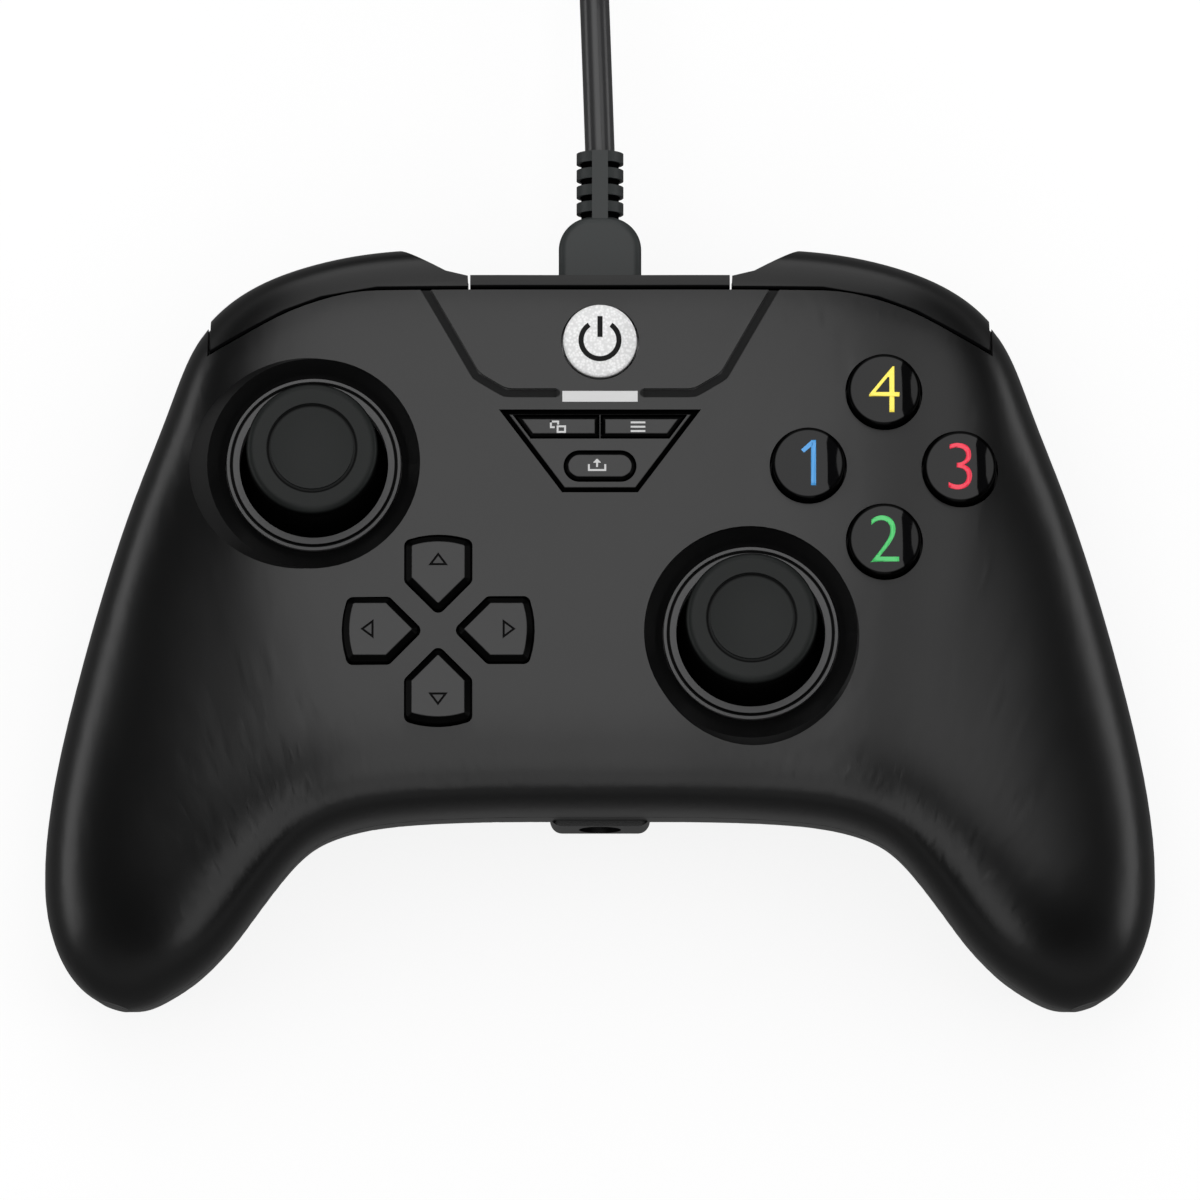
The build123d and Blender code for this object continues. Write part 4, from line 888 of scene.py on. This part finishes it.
class GAMEPAD_OT_home(bpy.types.Operator):
    """White home button with a plain power sign, and the frosted light bar"""
    bl_idname = "gamepad.home"
    bl_label = "Home button"

    sign_radius = 0.0026
    sign_line = 0.0007
    gap_angle = math.radians(70)
    # How far the upright bar starts above the middle and ends above the ring
    bar_lift = 0.0004
    arc_steps = 40

    def execute(self, context):
        s = context.scene.gamepad_controls
        dress("home_button", self.white(tuple(s.home_white)))
        frost = grained("light_frost", tuple(s.light_grey), 0.32, (0.0003, 0.000003), drift=0.1)
        dress("status_light", frost)
        dark = grained("home_ink", grey(0.003), 0.5, INK_GRAIN, Specular_IOR_Level=0.15)
        finish_piece(self.make_sign(), "home_sign", "home_button_body", dark)
        return {"FINISHED"}

    def white(self, base):
        """White plastic with fine grey flecks."""
        fleck_scale = 2600.0
        # A fleck fades in between these distances from its cell's middle, in cells
        fleck_rim = (0.25, 0.65)
        gloss_scale = 700.0
        roughness = (0.14, 0.24)
        material, g, shader = new_material("home_white")
        place = g.place()
        cells = g.add("ShaderNodeTexVoronoi", inputs={"Vector": place, "Scale": fleck_scale})
        amount = g.spread(cells.outputs["Distance"], *fleck_rim, 0.0, 1.0)
        g.feed(shader.inputs["Base Color"], g.blend(amount, base, darker(base, 0.80)))
        noise = g.noise(place, gloss_scale, 2.0)
        g.feed(shader.inputs["Roughness"], g.spread(noise, *NOISE_RANGE, *roughness))
        shader.inputs["Coat Weight"].default_value = 0.4
        return material

    def make_sign(self):
        """An open ring with an upright bar in its gap."""
        x, y = middle_of("home_button")
        z = top_of("home_button") + SIGN_LIFT
        half = self.sign_line / 2
        inner = self.sign_radius - half
        outer = self.sign_radius + half
        start = math.pi / 2 - self.gap_angle / 2
        sign = flat_bars([(x - half, y + self.bar_lift, x + half, y + outer + self.bar_lift)], z)
        activate(sign)
        bpy.ops.object.mode_set(mode="EDIT")
        bpy.ops.mesh.select_all(action="DESELECT")
        mesh = bmesh.from_edit_mesh(sign.data)
        ends = [mesh.verts.new((x + r * math.cos(start), y + r * math.sin(start), z))
                for r in (inner, outer)]
        mesh.edges.new(ends)
        for v in ends:
            v.select_set(True)
        mesh.select_flush(True)
        bmesh.update_edit_mesh(sign.data)
        bpy.ops.mesh.spin(steps=self.arc_steps, angle=2 * math.pi - self.gap_angle, center=(x, y, z),
                          axis=(0, 0, 1))
        bpy.ops.object.mode_set(mode="OBJECT")
        return lay_on(sign, "home_button", INK_DEPTH)


# Keys on the face

class GAMEPAD_OT_keys(bpy.types.Operator):
    """Four direction keys, the middle plate and its three keys with small printed signs"""
    bl_idname = "gamepad.keys"
    bl_label = "Keys"

    line = 0.00026
    sign_depth = 0.00002
    view_middle = (-0.00575, 0.0256)
    menu_middle = (0.0052, 0.0256)
    share_middle = (-0.0004, 0.0203)

    def execute(self, context):
        s = context.scene.gamepad_controls
        top = tuple(s.key_plastic)
        # This black is painted shade on the keys' slopes and cut marks.
        edge = tuple(s.key_edge_painted_shade)
        direction = key_with_painted_edge_shade("direction_key_painted_shade", "dpad_up", top, edge, 0.42)
        for way in ("up", "right", "down", "left"):
            dress("dpad_" + way, direction)
        dress("menu_plate", key_with_painted_edge_shade("plate_satin_painted_shade", "menu_plate", top, edge, 0.44))
        small = key_with_painted_edge_shade("small_key_painted_shade", "menu_button", top, edge, 0.42)
        ink = grained("sign_ink", tuple(s.sign_ink), 0.45, INK_GRAIN, drift=0.1)
        for node, bars in (("view_button", self.view_bars()), ("menu_button", self.menu_bars()),
                           ("share_button", self.share_bars())):
            dress(node, small)
            sign = flat_bars(bars, top_of(node) + SIGN_LIFT)
            lay_on(sign, node, self.sign_depth, LEVEL_FINENESS)
            finish_piece(sign, node + "_sign", node + "_body", ink)
        return {"FINISHED"}

    def view_bars(self):
        """Two square outlines, the lower one in front."""
        x, y = self.view_middle
        line = self.line
        left = x - 0.0011
        right = x + 0.00015
        foot = y - 0.0002
        head = y + 0.00085
        back = [(left, foot, left + line, head), (left, head - line, right, head),
                (right - line, y + 0.0003, right, head - line),
                (left + line, foot, x - 0.00045, foot + line)]
        return back + frame_bars(x - 0.00018, y - 0.00085, x + 0.0011, y + 0.00018, line)

    def menu_bars(self):
        """Three level lines."""
        x, y = self.menu_middle
        step = 0.0006
        half = 0.001
        return [(x - half, y + n * step - self.line / 2, x + half, y + n * step + self.line / 2)
                for n in (-1, 0, 1)]

    def share_bars(self):
        """An open tray with an arrow that rises out of it."""
        x, y = self.share_middle
        line = self.line
        half = 0.00125
        foot = y - 0.00085
        rim = y + 0.0001
        tray = [(x - half, foot, x + half, foot + line), (x - half, foot + line, x - half + line, rim),
                (x + half - line, foot + line, x + half, rim)]
        neck = y + 0.0003
        step = 0.00013
        arrow = []
        for n in range(4):
            reach = 0.0005 - n * 0.00012
            arrow.append((x - reach, neck + n * step, x + reach, neck + (n + 1) * step))
        arrow.append((x - line / 2, y - 0.0003, x + line / 2, neck))
        return tray + arrow


# Sticks

class GAMEPAD_OT_sticks(bpy.types.Operator):
    """Rubber caps, the collars round them and the steel and plastic of their modules, with painted shade in
    their grooves and under the caps
    """
    bl_idname = "gamepad.sticks"
    bl_label = "Sticks"

    # The first band's inner radius is below 0, so that the gloss has no hole in its middle. Where the bands
    # end, caps and collars are painted black as painted shade in their grooves and round their rims.
    cap_bands = ((-0.001, 0.0060), (0.0060, 0.0090))
    ring_bands = ((0.0, 0.0111), (0.01145, 0.0126))
    # How far under a cap's top its gloss is full, and over what height it comes in; below that the cap's
    # side is painted black as painted shade under it
    cap_shoulder = 0.0008
    cap_rise = 0.0022

    def execute(self, context):
        s = context.scene.gamepad_sticks
        post = steel("post_steel", (0.55, 0.55, 0.57, 1.0), 0.3)
        pivot = steel("pivot_steel", (0.5, 0.5, 0.52, 1.0), 0.35)
        case = grained("module_case", (0.01, 0.01, 0.011, 1.0), 0.5, COARSE_GRAIN)
        for side in ("left", "right"):
            cap = side + "_stick_cap"
            full = top_of(cap) - self.cap_shoulder
            dress(cap, round_cap_painted_shade(
                side + "_stick_rubber_painted_shade", cap, tuple(s.rubber), 0.7, self.cap_bands, coat=0.42,
                coat_roughness=0.45, edge=0.0003, rise=(full - self.cap_rise, full)))
            ring = side + "_stick_ring"
            dress(ring, round_cap_painted_shade(
                side + "_stick_collar_painted_shade", ring, tuple(s.ring), 0.5, self.ring_bands, coat=0.6,
                coat_roughness=0.35))
            dress(side + "_stick_post", post)
            dress(side + "_stick_pivot", pivot)
            dress(side + "_stick_yoke", pivot)
            dress(side + "_stick_module", case)
        return {"FINISHED"}


# Insides, screws, socket and the cable's fixed pieces

class GAMEPAD_OT_fittings(bpy.types.Operator):
    """Board, mats, motors, springs, pins, screws, socket, boot and tie"""
    bl_idname = "gamepad.fittings"
    bl_label = "Fittings"

    relief_length = 0.0094
    # Rubber that lies nearer than this to the relief's middle line is in a slot, where shade is painted
    slot_radius = 0.0027
    slot_fade = 0.0002

    def execute(self, context):
        mat = grained("mat_rubber", (0.10, 0.10, 0.11, 1.0), 0.55, (0.0005, 0.00001),
                      Subsurface_Weight=0.1)
        for node in ("dpad_mat", "face_button_mat", "menu_button_mat"):
            dress(node, mat)
        dark = grained("inner_black", (0.012, 0.012, 0.013, 1.0), 0.5, COARSE_GRAIN)
        for node in ("bumper_switches", "trigger_sensors", "headset_jack", "usb_socket"):
            dress(node, dark)
        spring = steel("spring_steel", (0.60, 0.60, 0.62, 1.0), 0.25)
        for side in ("left", "right"):
            dress(side + "_trigger_spring", spring)
            dress(side + "_trigger_pin", spring)
            dress(side + "_rumble_motor", steel(side + "_motor_can", (0.52, 0.52, 0.53, 1.0), 0.32))
            dress(side + "_rumble_weight", steel(side + "_weight_metal", (0.36, 0.36, 0.37, 1.0), 0.5))
        screw = steel("screw_steel", (0.10, 0.10, 0.105, 1.0), 0.3, stretch=(1.0, 1.0, 1.0))
        dress("housing_screws", screw)
        dress("board_screws", screw)
        dress("plug_tip", steel("plug_tip_metal", (0.6, 0.6, 0.62, 1.0), 0.22))
        dress("main_board", self.board())
        dress("cable_boot", self.boot())
        dress("cord_tie", self.weave())
        return {"FINISHED"}

    def board(self):
        """Green board with paler tracks and tinned pads."""
        track_scale = 160.0
        pad_scale = 190.0
        # A pad's rim, in cells of its pattern, from bare board to tin
        pad_rim = (0.16, 0.14)
        tin = (0.6, 0.58, 0.52, 1.0)
        material, g, shader = new_material("board_green")
        place = g.place()
        tracks = g.add("ShaderNodeTexBrick", inputs={
            "Vector": place, "Scale": track_scale, "Mortar Size": 0.06,
            "Color1": (0.004, 0.060, 0.022, 1.0), "Color2": (0.005, 0.070, 0.026, 1.0),
            "Mortar": (0.010, 0.120, 0.050, 1.0)})
        pads = g.add("ShaderNodeTexVoronoi", inputs={
            "Vector": place, "Scale": pad_scale, "Randomness": 0.55})
        tinned = g.spread(pads.outputs["Distance"], *pad_rim, 0.0, 1.0)
        g.feed(shader.inputs["Base Color"], g.blend(tinned, tracks.outputs["Color"], tin))
        g.feed(shader.inputs["Metallic"], tinned)
        g.feed(shader.inputs["Roughness"], g.spread(tinned, 0.0, 1.0, 0.35, 0.25))
        g.feed(shader.inputs["Normal"], g.bump(tracks.outputs["Fac"], 0.00003, 0.5))
        return material

    def boot(self):
        """Grey rubber, painted black in the slots between the relief's ribs as painted shade."""
        low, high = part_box("cable_boot")
        head = high[1] - self.relief_length
        material, g, shader = coated("boot_rubber_painted_shade", (0.014, 0.017, 0.017, 1.0), 0.6, 0.5)
        axes = g.axes(g.place())
        across = g.vector(axes["X"], 0.0, axes["Z"])
        radius = g.distance(across, (0.0, 0.0, (low[2] + high[2]) / 2))
        on_rib = g.spread(radius, self.slot_radius, self.slot_radius + self.slot_fade, 0.0, 1.0)
        on_head = g.spread(axes["Y"], head, head + self.slot_fade, 1.0, 0.0)
        # In the slots the coat goes and the base is painted black: painted shade.
        unshaded = g.maths("MAXIMUM", on_rib, on_head)
        g.feed(shader.inputs["Coat Weight"], unshaded)
        paint_shade(g, shader, unshaded, grey(0.0008))
        return material

    def weave(self):
        """Black fabric strap of fine crossing threads."""
        thread_scale = 420.0
        material, g, shader = new_material("tie_weave")
        place = g.place()
        threads = []
        for turn in (0.0, math.pi / 2):
            turned = g.add("ShaderNodeMapping", inputs={"Vector": place, "Rotation": (0.0, 0.0, turn)})
            wave = g.add("ShaderNodeTexWave", inputs={
                "Vector": turned.outputs[0], "Scale": thread_scale, "Distortion": 0.6, "Detail": 1.0})
            threads.append(wave.outputs["Fac"])
        height = g.maths("MAXIMUM", *threads)
        g.feed(shader.inputs["Base Color"], g.blend(height, grey(0.004), (0.022, 0.022, 0.023, 1.0)))
        g.feed(shader.inputs["Roughness"], g.spread(height, 0.0, 1.0, 0.95, 0.75))
        g.feed(shader.inputs["Normal"], g.bump(height, 0.0001, 0.8))
        shader.inputs["Sheen Weight"].default_value = 0.3
        return material


OPERATORS = (
    GAMEPAD_OT_stage, GAMEPAD_OT_cable, GAMEPAD_OT_plug, GAMEPAD_OT_shell, GAMEPAD_OT_face_buttons,
    GAMEPAD_OT_home, GAMEPAD_OT_keys, GAMEPAD_OT_sticks, GAMEPAD_OT_fittings,
)


class GAMEPAD_PT_build(bpy.types.Panel):
    """Lists the gamepad's operators"""
    bl_label = "Gamepad"
    bl_idname = "GAMEPAD_PT_build"
    bl_space_type = "VIEW_3D"
    bl_region_type = "UI"
    bl_category = "Gamepad"

    def draw(self, context):
        for operator in OPERATORS:
            self.layout.operator(operator.bl_idname)


def register():
    """Adds the settings to the scene, and the operators and panel to Blender."""
    for name, group in SETTINGS:
        bpy.utils.register_class(group)
        setattr(bpy.types.Scene, name, bpy.props.PointerProperty(type=group))
    for cls in OPERATORS + (GAMEPAD_PT_build,):
        bpy.utils.register_class(cls)


def unregister():
    """Takes away all that register adds."""
    for cls in reversed(OPERATORS + (GAMEPAD_PT_build,)):
        bpy.utils.unregister_class(cls)
    for name, group in reversed(SETTINGS):
        delattr(bpy.types.Scene, name)
        bpy.utils.unregister_class(group)


def main():
    """Builds the scene in order."""
    register()
    for operator in OPERATORS:
        getattr(bpy.ops.gamepad, operator.bl_idname.split(".")[1])()


if __name__ == "__main__":
    main()
